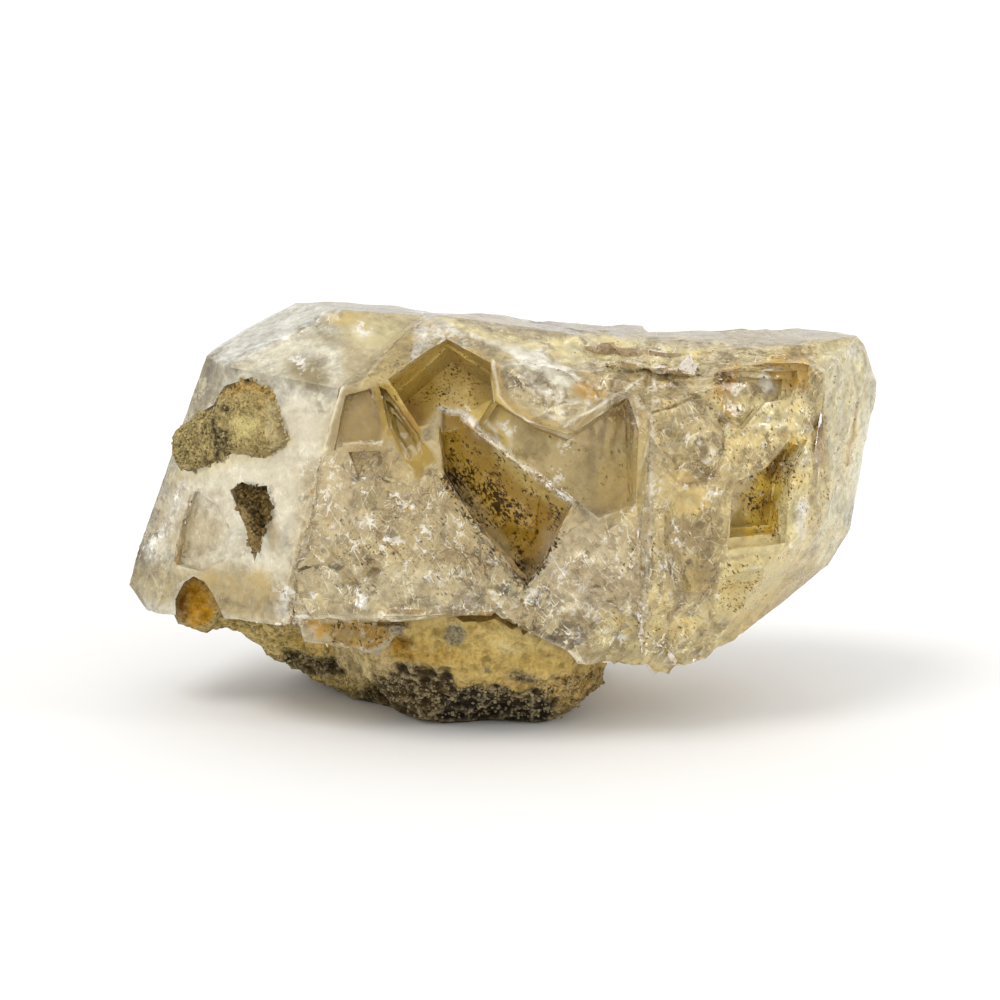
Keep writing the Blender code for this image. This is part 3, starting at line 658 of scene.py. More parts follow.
points = points_of(skin)
for size, reach in WOBBLES:
    strays = [noise.noise_vector(Vector(point) / size) for point in points]
    points += np.array(strays) * reach
move_points(skin, points)

facing = facing_of(points, normals_of(skin))
broken = strongest(BROKEN_PARTS, *wandering(points, 5)) * facing
broken = np.maximum(broken, (1 - facing) * rise(noise_at(points, HIDDEN_BROKEN_SIZE), 0.15, 0.35))
weigh(skin, "broken", broken)
for size, depth in SHELLS:
    press(skin, "VORONOI", size, depth, "broken", **SQUARED)
print("broken points:", int((broken > 0.5).sum()), "of", len(points))

# %% [markdown]
# ## Ridges and cracks
#
# The rims are raised a little here, and the cracks between the crystals are sunk. Each line is pushed
# straight along the line of sight, which keeps it where the photo shows it.

# %% Raise the rims and sink the cracks
RELIEF = (  # the mark and how far it stands out
    (line(SHELL_RIM, 3.5), 0.3 * MM),
    (line(SHELL_RIDGE, 4, 5), 0.25 * MM),
    (area("514,366 560,384 576,398 552,408 524,396", 14), -0.5 * MM),
    (line(STRAIGHT_RIM, 2.5), 0.25 * MM),
    (line(PLATE_RIM, 4, 4), 0.25 * MM),
    (line(FRONT_EDGE, 3, 5), 0.12 * MM),
    (line(PANE_RIM, 2), 0.05 * MM),
    (line(LEDGE_RIM, 4, 5), 0.15 * MM),
    (line(UPPER_CRACK), -0.4 * MM),
    (line(LOOPED_CRACK), -0.4 * MM),
    (line(POD_RIM, 2), -0.2 * MM),
    (line("386,353 415,323", 2.5, 2), -0.2 * MM),
)
RAGGED_SIZE = 0.8 * MM

points = points_of(skin)
facing = facing_of(points, normals_of(skin))
wandered = wandering(points, 1.5)
ragged = rise(noise_at(points, RAGGED_SIZE, 4), -0.5, 0.2)
height = sum(mark(*wandered) * out for mark, out in RELIEF) * facing * ragged
to_eye = np.array(eye) - points
to_eye /= np.linalg.norm(to_eye, axis=1)[:, None]
move_points(skin, points + to_eye * height[:, None])
print("rims and cracks:", len(RELIEF))

# %% [markdown]
# ## Painting the stone
#
# The real colours lie in layers: the clear champagne of the quartz, milky clouds where it is full of fine
# cracks, and iron stains on the floors of the hollows. They are painted here in the same order, as soft marks
# laid over each other, each with a colour of its own. A second value says how milky the place is, because a
# clear place lets the light through and a milky one throws it back.

# %% Choose the colours
CHAMPAGNE = (208, 194, 154)
PALE, CREAM, WHITE = (234, 230, 208), (226, 212, 160), (248, 246, 238)
# a painted highlight for the top facet of the left crystal, and painted grey shade for its left edge
TOP_FACET_HIGHLIGHT, EDGE_SHADE_GREY = (246, 248, 238), (206, 202, 174)
SMOKE, SMOKY_TAN, DUSK = (146, 130, 86), (200, 184, 140), (166, 160, 134)
OLIVE, BROWN, UMBER, DARK = (140, 124, 74), (128, 98, 42), (112, 78, 24), (70, 46, 14)
HONEY, GOLD, AMBER = (208, 180, 104), (190, 150, 62), (186, 138, 50)
print("the quartz as light:", [round(part, 2) for part in linear(*CHAMPAGNE)[:3]])

# %% Mark the left crystal
LEFT_MARKS = (  # the mark, its colour, how strong it is and how milky
    # the face as a whole, its top with a painted highlight and its left edge with painted grey shade
    (area("207,356 340,318 345,390 318,470 290,580 290,626 128,612 127,585 168,450", 16), PALE, 0.95, 0.5),
    (area("205,356 296,300 342,309 226,366", 4), TOP_FACET_HIGHLIGHT, 0.95, 0.5),
    (area("205,352 228,367 198,450 172,520 146,566 126,600 120,585 160,455 186,383"), EDGE_SHADE_GREY, 0.85, 0.35),
    (spot(206, 384, 12, 26, 22, 14), DUSK, 0.5, 0.3),
    # stains along the top
    (spot(309, 374, 24, 15, 24, 16), SMOKE, 0.95, 0.65),
    (spot(330, 339, 15, 7, 8, 12), (158, 143, 100), 0.75, 0.5),
    (spot(347, 319, 26, 7, 8), (212, 184, 104), 0.75, 0.65),
    (spot(382, 334, 34, 16, 6, 14), (222, 210, 158), 0.85, 0.6),
    (spot(361, 331, 10, 5, 10, 7), (236, 230, 208), 0.6, 0.65),
    # milky clouds and the veil across the face
    (spot(262, 505, 44, 70, 12, 40), (232, 226, 204), 0.6, 0.55),
    (spot(282, 420, 34, 34, 0, 34), (232, 226, 206), 0.6, 0.58),
    (line("176,476 222,462 268,452 288,440", 12, 12), CREAM, 0.7, 0.55),
    (spot(194, 534, 30, 24, -20, 22), SMOKY_TAN, 0.7, 0.45),
    (line("181,489 172,512 160,534 148,552", 8, 10), WHITE, 0.6, 0.6),
    # the stained foot of the face
    (spot(272, 530, 7, 24, -8), (168, 148, 98), 0.75, 0.55),
    (spot(166, 584, 44, 20, 8, 20), (190, 172, 118), 0.75, 0.5),
    (spot(240, 590, 50, 24, 10, 20), (172, 148, 84), 0.85, 0.5),
    (line("214,604 240,614 288,620", 8, 10), HONEY, 0.5, 0.5),
    # a painted highlight where small breaks at the foot flash white
    (spot(296, 606, 16, 22, 0, 14), WHITE, 0.5, 0.6),
    # its edges, white where they are chipped and partly a painted highlight
    (line(SHOULDER_EDGE, 3, 4), WHITE, 0.5, 0.55),
    (line("205,356 226,366 198,448 172,520", 2), WHITE, 0.35, 0.4),
)
print("marks on the left crystal:", len(LEFT_MARKS))

# %% Mark the front crystal
FRONT_MARKS = (
    # the front as a whole and its tip
    (area("345,388 412,330 440,312 545,342 652,374 655,520 640,665 290,628 288,575 330,440"),
     (193, 177, 132), 0.95, 0.45),
    (area("358,388 386,352 416,322 411,362 386,381", 3), (208, 186, 120), 0.85, 0.45),
    (area("414,328 436,314 454,325 411,362", 3), (224, 220, 204), 0.95, 0.5),
    (area("440,316 545,342 560,356 470,338 452,328"), (232, 218, 164), 0.85, 0.6),
    # the small smoky pane and the brown recess beside it
    (area("344,392 373,385 388,422 383,444 338,442", 4), (152, 126, 68), 0.92, 0.6),
    (area("340,446 384,446 392,470 348,460", 8), (160, 136, 82), 0.8, 0.5),
    (area("373,385 389,382 438,462 418,480 388,436", 4), (156, 126, 34), 0.92, 0.75),
    # the honey window
    (area("388,382 448,339 494,362 492,382 508,410 560,438 520,456 478,428 442,408 420,430", 4),
     (212, 184, 98), 0.95, 0.66),
    (area("389,382 420,358 436,380 432,420 418,424", 12), (182, 150, 62), 0.8, 0.75),
    (spot(414, 414, 10, 16, -20, 10), (150, 106, 42), 0.7, 0.8),
    (area("478,350 494,361 496,400 506,412 482,424 470,380", 5), (172, 144, 70), 0.85, 0.7),
    (line("390,386 412,366 446,343 470,352", 5, 5), (168, 128, 52), 0.5, 0.75),
    (spot(462, 374, 22, 14, 20, 14), (206, 176, 104), 0.5, 0.6),
    # the window below the shell, and the shell
    (area("508,412 560,438 612,445 650,420 646,470 636,520 606,524 566,490 516,452"),
     (188, 169, 112), 0.95, 0.5),
    (spot(618, 486, 22, 28, 20, 24), (198, 170, 98), 0.85, 0.6),
    (area("506,350 572,374 610,390 628,392 564,426 530,410 506,388", 8), (212, 199, 156), 0.85, 0.5),
    (area("518,356 566,374 574,392 548,400 524,388", 8), (234, 227, 204), 0.85, 0.55),
    (area("506,346 530,348 566,366 584,382 566,388 540,374 518,362"), (240, 237, 222), 0.7, 0.7),
    (spot(590, 391, 19, 9, 12), (182, 138, 42), 0.85, 0.75),
    (area("492,362 500,362 504,392 524,410 560,426 604,436 602,446 556,438 520,422 500,402", 4),
     (200, 170, 104), 0.85, 0.6),
    (area("566,428 630,392 650,412 650,430 612,444 580,440"), (190, 168, 116), 0.85, 0.5),
    # the golden plate
    (area("440,409 470,416 514,455 548,479 575,506 560,534 528,584 492,542 471,516 446,492 440,450"),
     (160, 124, 26), 0.97, 0.85),
    (area("490,440 516,455 548,479 575,506 560,520 530,490 500,466", 8), (200, 173, 96), 0.9, 0.75),
    (spot(544, 528, 18, 26, 24, 14), (160, 120, 18), 0.85, 0.85),
    (line("456,482 476,508 500,542 524,576", 15, 8), (188, 166, 116), 0.8, 0.7),
    (area("444,466 456,476 472,496 478,510 462,502 446,492", 8), DARK, 0.8, 0.95),
    (area("566,524 558,542 530,582 522,574 548,540", 8), UMBER, 0.7, 0.9),
    (spot(520, 570, 9, 13, 40), DARK, 0.75, 0.9),
    # the broken part below the windows
    (area("300,470 350,450 380,480 360,540 300,560", 26), (200, 184, 146), 0.7, 0.5),
    (spot(412, 528, 38, 34, 0, 30), (180, 163, 122), 0.6, 0.5),
    (spot(372, 496, 16, 12, 30, 14), OLIVE, 0.65, 0.55),
    (spot(396, 470, 16, 10, 30, 12), (190, 168, 116), 0.6, 0.5),
    (spot(330, 512, 7, 14, 10, 6), (172, 148, 104), 0.7, 0.55),
    (spot(450, 508, 12, 8, 20), (150, 122, 66), 0.6, 0.6),
    (line("376,528 390,546 405,562"), UMBER, 0.8, 0.8),
    (spot(391, 554, 3, 3, 0, 3), DARK, 0.9, 0.9),
    (spot(356, 479, 5, 3, -20, 3), DARK, 0.8, 0.9),
    (spot(408, 508, 4, 4, 0, 4), GOLD, 0.8, 0.7),
    (spot(590, 568, 50, 46, 0, 40), (216, 202, 168), 0.7, 0.5),
    (spot(420, 588, 110, 24, 2, 24), (216, 204, 166), 0.7, 0.5),
    (spot(470, 556, 26, 14, 14, 16), (182, 164, 120), 0.8, 0.35),
    # the golden knob under the lower edge
    (area("314,620 352,619 384,622 392,636 372,652 340,644"), (160, 122, 24), 0.95, 1.0),
    (spot(346, 634, 20, 9, 10), (154, 128, 72), 0.85, 1.0),
    (area("300,618 318,619 330,634 318,640"), (190, 146, 52), 0.9, 0.95),
)
print("marks on the front crystal:", len(FRONT_MARKS))

# %% Mark the right crystal
RIGHT_MARKS = (
    # the face as a whole and the layered shelf along its top
    (area("652,372 700,350 865,335 880,382 850,532 800,584 710,664 640,668 655,520", 10),
     (230, 211, 150), 0.92, 0.46),
    (area("545,338 602,334 700,350 704,372 640,372 566,362", 8), (234, 221, 166), 0.88, 0.6),
    (spot(612, 350, 34, 6, 8), (212, 184, 116), 0.35, 0.5),
    (spot(672, 364, 30, 6), (214, 194, 142), 0.4, 0.45),
    (area("572,374 640,372 690,376 652,388 600,386", 8), (206, 186, 134), 0.85, 0.5),
    (area("652,384 690,380 694,396 656,412", 8), (208, 190, 148), 0.8, 0.45),
    # the oval pod
    (spot(*POD_MIDDLE, *POD_RADII, 10, 14), (206, 190, 140), 0.85, 0.45),
    (spot(694, 478, 22, 8, -6, 6), (176, 156, 108), 0.85, 0.5),
    # the upper hollow
    (area("716,370 738,362 736,384 722,402 714,396", 8), AMBER, 0.85, 0.75),
    (spot(722, 377, 8, 7, 0, 6), DARK, 0.8, 0.9),
    (area("716,398 736,394 752,424 728,432", 8), (216, 184, 98), 0.85, 0.65),
    (spot(724, 420, 5, 9, -20, 5), UMBER, 0.8, 0.85),
    (area("756,386 763,371 779,392", 4), (244, 242, 232), 0.95, 0.85),
    (area("770,360 806,354 813,372 806,392 788,390 772,374", 8), (214, 174, 80), 0.9, 0.7),
    (line("776,358 796,355 814,354", 6, 5), BROWN, 0.8, 0.75),
    (spot(770, 410, 38, 22, 0, 20), (246, 232, 174), 0.85, 0.5),
    # the ledge and the hollow below it
    (line(LEDGE_RIM, 7, 6), CREAM, 0.9, 0.65),
    (area("762,470 796,436 812,442 790,482 782,540 728,546 742,492"), (238, 206, 84), 0.95, 0.75),
    (spot(778, 464, 18, 11, -42), (144, 106, 26), 0.85, 0.8),
    (area("740,494 780,492 776,520 748,510", 8), (192, 152, 28), 0.85, 0.8),
    (area("728,520 744,500 746,540 730,546", 8), (172, 148, 80), 0.85, 0.75),
    (area("783,468 800,440 812,442 806,548 724,556 728,536 776,534", 4), (232, 216, 156), 0.95, 0.6),
    # a painted highlight on the pale strip
    (spot(802, 518, 6, 20, 4), WHITE, 0.6, 0.65),
    # the lower corner
    (area("724,561 768,553 797,549 776,588 752,608 730,622 714,621 709,610 716,586"),
     (224, 206, 144), 0.85, 0.66),
    (area("664,506 706,520 716,560 712,600 676,604 660,560", 12), (163, 144, 94), 0.85, 0.5),
    (spot(648, 634, 7, 4, 0, 5), UMBER, 0.8, 0.85),
    (spot(650, 628, 20, 12, 0, 14), (204, 180, 108), 0.6, 0.5),
    (area("590,612 712,620 726,640 686,668 660,676 598,668", 16), (226, 210, 152), 0.8, 0.55),
    # the right edge
    (area("822,345 866,338 882,384 852,530 828,566 812,560 826,440", 18), (240, 232, 188), 0.88, 0.55),
    # painted grey shade along the rim of the right edge
    (area("858,350 872,366 878,384 866,450 852,528 844,524 858,450 868,386"), (224, 224, 202), 0.8, 0.45),
    (line("857,404 852,432 849,463", 4, 4), (150, 110, 40), 0.85, 0.8),
    (line("862,352 869,372 866,396"), (170, 132, 60), 0.6, 0.7),
)
print("marks on the right crystal:", len(RIGHT_MARKS))

# %% Mark the rims and cracks
# The white and pale lines on rims and edges are the white of chipped rims and partly a painted highlight,
# where thin edges catch the light.
LINE_MARKS = (
    (line(SHELL_RIM, 2.6, 2.5), (244, 236, 214), 0.9, 0.75),
    (line(SHELL_RIDGE, 3, 4), WHITE, 0.7, 0.65),
    (line("568,437 584,442 602,445", 3, 4), (232, 220, 184), 0.5, 0.5),
    (line("503,366 510,388 528,404 552,416 572,420", 2.6), (236, 226, 196), 0.6, 0.6),
    (line("512,360 524,378 544,392 566,400 588,402", 2.6), WHITE, 0.7, 0.65),
    (line("566,366 592,360 620,366 646,374", 2.6), (240, 230, 200), 0.6, 0.6),
    (line("446,330 470,336 500,346 520,350", 4, 4), WHITE, 0.6, 0.6),
    (line(STRAIGHT_RIM, 2.4, 2.5), WHITE, 0.85, 0.7),
    (line(PLATE_RIM, 6, 5), (246, 241, 224), 0.92, 0.75),
    (line("498,424 510,432 512,450", 6, 6), (240, 236, 220), 0.7, 0.65),
    (line("500,444 494,430 487,422"), WHITE, 0.7, 0.65),
    (line(FRONT_EDGE, 6, 5), (218, 200, 148), 0.6, 0.6),
    (line(FRONT_EDGE, 2, 2.5), (244, 238, 220), 0.7, 0.7),
    (line(RIGHT_EDGE, 2.6, 4), WHITE, 0.65, 0.6),
    (line(PANE_RIM, 2, 2), (222, 206, 164), 0.8, 0.65),
    (line(LOWER_RIM, 4, 5), (238, 230, 204), 0.7, 0.65),
    (line("635,399 650,414 652,430 646,452 640,468"), (226, 214, 178), 0.8, 0.6),
    (line("346,394 338,420 331,446", 8, 5), (158, 138, 96), 0.85, 0.6),
    (line("377,388 388,422 386,442", 7, 5), (152, 124, 54), 0.85, 0.7),
    (line("346,390 360,386 374,385", 4, 4), (170, 150, 104), 0.7, 0.6),
    (line("362,392 372,408 380,424", 2.2, 2), (128, 102, 52), 0.6, 0.7),
    (line("352,396 360,412 368,430", 2.2, 2), (176, 156, 110), 0.5, 0.6),
    (line("378,386 398,414 418,446", 2.2, 2), (92, 66, 26), 0.8, 0.85),
    (line("384,385 404,414 424,444", 1.8, 2), (116, 88, 40), 0.7, 0.8),
    (line("374,392 392,422 410,452", 1.8, 2), (116, 88, 40), 0.7, 0.8),
    (line(UPPER_CRACK, 2.6, 2.5), DARK, 0.9, 0.9),
    (line(LOOPED_CRACK, 2.6, 2.5), DARK, 0.85, 0.9),
    (line(POD_RIM, 2.4), (150, 124, 78), 0.7, 0.6),
    (line("668,420 690,414 712,424", 2.4), WHITE, 0.5, 0.6),
    (line("666,446 690,440 714,450", 2.4), WHITE, 0.5, 0.6),
    (line("838,352 842,420 836,500", 2.4), WHITE, 0.5, 0.5),
    (line("826,356 829,430 824,520", 2.4), (240, 232, 196), 0.5, 0.5),
    (line("850,346 858,400 850,470", 2), (196, 174, 120), 0.4, 0.5),
    (line("816,440 818,480 812,530", 2.4), (206, 180, 116), 0.4, 0.5),
    (line("386,353 415,323", 2.2, 2), UMBER, 0.9, 0.85),
    (line("361,384 386,353"), (226, 208, 160), 0.7, 0.6),
    (line("443,412 443,450 446,490", 2.6, 2.5), DARK, 0.7, 0.9),
)


def over(colours, milk, mark, colour, strength, milkiness):
    """Lays a colour and a milkiness over what is there, as far as the mark goes."""
    share = (mark * strength)[:, None]
    layer = np.array(linear(*colour)[:3])
    return colours * (1 - share) + layer * share, milk * (1 - share[:, 0]) + milkiness * share[:, 0]


def store_colour(piece, name, colours):
    """Stores a colour for each point, as a vector."""
    layer = piece.data.attributes.new(name, "FLOAT_VECTOR", "POINT")
    layer.data.foreach_set("vector", colours.astype(np.float32).ravel())


def store_value(piece, name, values):
    layer = piece.data.attributes.new(name, "FLOAT", "POINT")
    layer.data.foreach_set("value", values.astype(np.float32))


# %% [markdown]
# ## Worn edges and painted highlights
#
# Every sharp edge of the real stone is nibbled, and the tiny breaks make it white; the white painted on
# ridges
# is partly also a painted highlight, where edges catch the light. Which edges are sharp is read from the
# mesh:
# where a point lies far outside the middle of its neighbours, the skin is a ridge, and where it lies far
# inside, it is a hollow, in which dirt and iron stay on the quartz, and which is painted dark as shade on the
# rocks.

# %% Find ridges and hollows
def hollowness(piece):
    """How far points lie inside the middle of their neighbours, in lengths of an edge."""
    points, normals = points_of(piece), normals_of(piece)
    ends = np.empty(len(piece.data.edges) * 2, int)
    piece.data.edges.foreach_get("vertices", ends)
    first, second = ends.reshape(-1, 2).T
    count = np.bincount(ends, minlength=len(points))

    def around(values):
        total = np.bincount(first, values[second], len(points))
        return (total + np.bincount(second, values[first], len(points))) / count

    middle = np.column_stack([around(points[:, axis]) for axis in range(3)])
    length = np.linalg.norm(points[first] - points[second], axis=1)
    edge = (np.bincount(first, length, len(points)) + np.bincount(second, length, len(points))) / count
    inside = ((middle - points) * normals).sum(axis=1) / edge
    return (inside + around(inside)) / 2


RIDGE_FROM, RIDGE_TO = 0.05, 0.22  # in lengths of an edge
points = points_of(skin)
facing = facing_of(points, normals_of(skin))
inside = hollowness(skin)
print("points on sharp ridges:", int((inside < -RIDGE_TO).sum()))
print("points in deep hollows:", int((inside > RIDGE_TO).sum()))

# %% [markdown]
# ## Where stains, wisps and steps show
#
# Honey and gold come and go over some parts only, and other parts are full of healed cracks, which look like
# white wisps. In the windows the real steps melt into the stain, so their edges are left plain there.

# %% Say where stains, wisps and quiet steps are
STAINED_PARTS = (  # where honey and gold stains come and go
    (area("545,338 870,340 850,530 720,660 590,660 640,520 655,400", 30), 1.0),
    (area("290,470 440,480 540,600 290,626", 30), 0.3),
    (area("130,560 290,570 290,620 130,612", 20), 0.6),
    (area("340,314 440,318 545,340 470,345 380,345", 10), 0.8),
)
WISPY = (  # where the quartz is full of healed cracks
    (area("300,450 440,470 520,590 640,500 730,500 715,660 286,628", 26), 1.0),
    (area("150,480 300,470 290,600 130,610", 40), 0.25),
    (area("270,340 340,340 336,420 290,400", 20), 0.4),
    (area("560,338 820,345 826,440 800,560 660,480", 24), 0.8),
    (area("508,350 610,392 560,425 500,392", 10), 0.8),
    (area("815,345 880,340 870,520 800,580", 20), 0.25),
    (area("210,352 340,316 340,400 220,370", 20), 0.35),
    (line(SHOULDER_EDGE, 10, 8), 0.7),
    (line(LOWER_RIM, 14, 10), 1.0),
    (line(PLATE_RIM, 9, 6), 0.8),
    (line("181,489 172,512 160,534 148,552", 14, 10), 0.7),
    (spot(802, 518, 10, 26, 4, 10), 0.8),
    (area("530,336 602,334 700,350 704,374 560,362", 10), 0.9),
    (area("440,312 560,340 520,352 440,330", 10), 0.5),
)
QUIET = (  # the windows, whose steps don't stand out
    (area("340,392 389,380 448,338 494,362 512,408 470,452 418,480 336,470", 8), 0.8),
    (area("505,414 645,430 640,520 560,490", 8), 0.7),
    (area("724,540 740,480 800,430 815,440 806,552 722,556", 8), 0.9),
    (area("724,362 816,350 818,398 730,404", 8), 0.7),
)
print("parts:", len(STAINED_PARTS), "stained,", len(WISPY), "wispy,", len(QUIET), "quiet")

# %% [markdown]
# ## Laying the colours
#
# The sides that the photo hides get large blots of the same colours. On the shown side the marks are laid
# one over the other, then honey and gold in clouds, then white on the ridges, partly a painted highlight, and
# brown in the hollows, and the thin lines last. The colour and the milkiness of every point are kept in the
# mesh, where the material reads them.

# %% Paint the skin
HIDDEN_STAIN_SIZE, PATCH_SIZE, COARSE_SIZE, MEDIUM_SIZE = 14 * MM, 2.5 * MM, 3.4 * MM, 1.2 * MM

inside *= 1 - strongest(QUIET, *pixels_of(points)) * facing
ridge, hollow = rise(-inside, RIDGE_FROM, RIDGE_TO), rise(inside, RIDGE_FROM, RIDGE_TO)
blots, patches = noise_at(points, HIDDEN_STAIN_SIZE, 5), noise_at(points, PATCH_SIZE, 2)
coarse, medium = noise_at(points, COARSE_SIZE, 7), noise_at(points, MEDIUM_SIZE, 9)
colours = np.tile(np.array(linear(*CHAMPAGNE)[:3]), (len(points), 1))
milk = np.full(len(points), 0.5) - 0.18 * (1 - facing)
colours, milk = over(colours, milk, rise(blots, 0.1, 0.35) * (1 - facing), GOLD, 0.6, 0.5)
colours, milk = over(colours, milk, rise(-blots, 0.1, 0.35) * (1 - facing), PALE, 0.7, 0.3)
colours, milk = over(colours, milk, hollow * (1 - facing), AMBER, 0.6, 0.6)
wandered = wandering(points, 4)
for mark, colour, strength, milkiness in LEFT_MARKS + FRONT_MARKS + RIGHT_MARKS:
    colours, milk = over(colours, milk, mark(*wandered) * facing, colour, strength, milkiness)
stained = strongest(STAINED_PARTS, *wandered) * facing
colours, milk = over(colours, milk, rise(coarse, 0.12, 0.35) * stained, HONEY, 0.3, 0.6)
colours, milk = over(colours, milk, rise(medium + coarse, 0.35, 0.6) * stained, GOLD, 0.35, 0.6)
# white on the ridges: the white of nibbled edges and partly a painted highlight
colours, milk = over(colours, milk, ridge * rise(patches, -0.5, 0.3), WHITE, 0.5, 0.6)
colours, milk = over(colours, milk, hollow * rise(patches, -0.3, 0.4), BROWN, 0.25, 0.6)
wandered = wandering(points, 1.5)
uneven = 0.5 + 0.5 * rise(patches, -0.4, 0.3)
for mark, colour, strength, milkiness in LINE_MARKS:
    colours, milk = over(colours, milk, mark(*wandered) * facing * uneven, colour, strength, milkiness)
cracked = strongest(WISPY, *wandered) * facing + 0.4 * (1 - facing)
colours *= (1 + (0.08 + 0.07 * cracked) * (coarse + medium))[:, None]
store_colour(skin, "tint", np.clip(colours, 0, 1))
clouds = (0.16 * coarse + 0.12 * medium) * (0.4 + 0.6 * cracked)
store_value(skin, "milk", np.clip(milk + 0.2 + clouds, 0, 1))
print("marks on the skin:", len(LEFT_MARKS + FRONT_MARKS + RIGHT_MARKS + LINE_MARKS))

# %% [markdown]
# ## Specks and wisps
#
# Three more values go on the skin. The first says where dark specks of iron sit, thickest on the golden
# plate. The second says where the quartz is full of wisps, and the third where small flat breaks get a white
# painted highlight.

# %% Say where specks and wisps are
SPECKLED = (  # where iron specks sit, and how thick
    (area("444,425 500,450 566,510 528,584 492,542 446,492", 10), 1.0),
    (area("446,455 500,470 530,520 500,545 446,492", 14), 1.35),
    (area("710,560 796,550 752,610 712,622", 10), 0.6),
    (area("742,490 782,445 806,440 782,540 742,530", 12), 0.9),
    (area("390,380 450,340 480,360 430,420", 20), 0.5),
    (area("330,500 440,500 520,600 330,600", 30), 0.35),
    (area("600,560 720,500 720,660 600,660", 30), 0.4),
    (area("560,340 870,345 840,560 700,480", 30), 0.4),
    (area("505,415 640,445 640,520 560,490", 20), 0.25),
    (line("446,484 470,520 500,560 524,586", 12, 8), 1.2),
    (spot(452, 480, 8, 15, -20, 6), 2.2),
    (line("478,474 494,498 500,516", 8, 8), 1.7),
    (line("560,534 546,560 526,582", 8, 6), 1.6),
    (spot(778, 464, 18, 11, -42), 1.1),
    (area("740,494 780,492 776,520 748,510", 8), 1.1),
    (spot(722, 377, 10, 8, 0, 6), 1.4),
    (area("322,618 390,620 394,638 372,652 330,640", 8), 1.0),
    (spot(430, 378, 60, 40, 0, 20), 0.55),
)
# painted highlights: white is painted where the flat breaks would flash in the light
GLINTS = (  # where flat breaks flash white
    "330,470 324,494 405,508 391,535 424,532 440,577 290,596 298,617 298,360 237,473 172,500 164,529 "
    "150,551 364,328 769,384 814,457 802,509 853,353 710,491 655,488 676,539 592,612 587,586 533,595 "
    "578,634 668,657 564,578 424,331 438,335 452,334 468,339 508,426 567,446 556,477 665,564 470,604 "
    "360,600 540,352 282,592"
)
GLINT_RADIUS = 9  # pixels

clusters = np.clip(0.75 + 0.9 * medium + 0.9 * coarse, 0.1, 1.6)
speckled = strongest(SPECKLED, *wandering(points, 6))
store_value(skin, "specks", speckled * facing * clusters + 0.3 * (1 - facing))
uneven = 0.35 + 0.65 * rise(patches + 0.6 * medium, -0.25, 0.35)
store_value(skin, "wisps", cracked * uneven)
glints = [(spot(*place, GLINT_RADIUS, GLINT_RADIUS, 0, GLINT_RADIUS), 1.0) for place in corners(GLINTS)]
store_value(skin, "glints", strongest(glints, *pixels_of(points)) * facing)
print("parts with specks:", len(SPECKLED), "and glints:", len(glints))

# %% [markdown]
# ## Small broken faces
#
# A break in quartz is made of many small faces that lean each its own way, far too many for the mesh. So the
# material leans its normal by a colour of its own for each cell of a pattern, most where the wisps are. The
# cells are pushed about by noise first, because straight-sided cells would look like tiles.

# %% Lean the small faces
FACET_SIZE, FACET_LEAN = 1.3 * MM, 0.7
STIR_SIZE, STIR_REACH = 0.7 * MM, 1.6 * MM

quartz = Recipe("stained_quartz")
place = quartz.place()
tint = quartz.painted("tint", "Color")
milkiness = quartz.painted("milk")
speck_amount = quartz.painted("specks")
wisp_amount = quartz.painted("wisps")
glint_amount = quartz.painted("glints")

stir = quartz.noise(place, STIR_SIZE, 3.0, 0.4, 0.62)
pushed = quartz.vectors("ADD", place, quartz.pushes(stir.also("Color"), STIR_REACH))
facets = quartz.cells(pushed, FACET_SIZE)
lean = quartz.pushes(facets, (wisp_amount + 0.05) * FACET_LEAN)
plain = quartz.node("ShaderNodeNewGeometry", output="Normal")
leaning = quartz.vectors("NORMALIZE", quartz.vectors("ADD", plain, lean))
print("nodes for the small faces:", len(quartz.tree.nodes))

# %% [markdown]
# ## Wisps, sparkles and specks
#
# Healed cracks are long thin strokes, so ridged noise is turned and drawn out in one direction, once for long
# arcs and once for shorter splinters. Single cells are painted white as sparkles, a painted highlight. Iron
# specks are noise cut off high up, and how high depends on the painted amount.

# %% Draw the wisps, the sparkles and the specks
ARC_TURN, ARC_STRETCH, ARC_SIZE = (0.3, 0.9, 0.4), (6.0, 1.0, 1.0), 1.2 * MM
SPLINTER_TURN, SPLINTER_STRETCH, SPLINTER_SIZE = (0.4, -1.1, -0.3), (5.0, 1.0, 1.0), 0.7 * MM
SPECK_TURN, SPECK_STRETCH, SPECK_SIZE = (0.0, 0.9, 0.0), (2.0, 1.0, 1.0), 0.24 * MM
SPARKLE_SIZE = 0.45 * MM

arcs = quartz.lines(quartz.turned(place, ARC_TURN, ARC_STRETCH), ARC_SIZE, 0.2)
splinters = quartz.lines(quartz.turned(place, SPLINTER_TURN, SPLINTER_STRETCH), SPLINTER_SIZE, 0.3)
wisps = (arcs.between(0.91, 1.0) * 0.9).larger(splinters.between(0.9, 1.0) * 0.8)
wisps = wisps * (stir.between(0.42, 0.56) * 0.8 + 0.2) * wisp_amount
chance = quartz.part(quartz.cells(pushed, SPARKLE_SIZE), 0)
# sparkles are painted highlights: single cells turned white, more of them where glints are listed
sparkles = (chance + glint_amount * 0.4).between(0.95, 0.96) * wisp_amount.larger(glint_amount)
speck_noise = quartz.noise(quartz.turned(place, SPECK_TURN, SPECK_STRETCH), SPECK_SIZE, 2.0, 0.3, 0.7)
specks = (speck_noise + speck_amount * 0.12 - 0.66).between(0.0, 0.04) * speck_amount.between(0.02, 0.2)
print("nodes with the strokes and specks:", len(quartz.tree.nodes))

# %% [markdown]
# ## The colour of the quartz
#
# The painted colour is made lighter and darker by what was drawn above and by long streaks. Where specks are
# thick, the stain is a dust of pale and brown grains. A dark stroke beside each splinter is a painted shadow
# that gives it depth. The wisps, the sparkles, which are painted highlights, and the specks come last,
# because on the stone they lie on top.

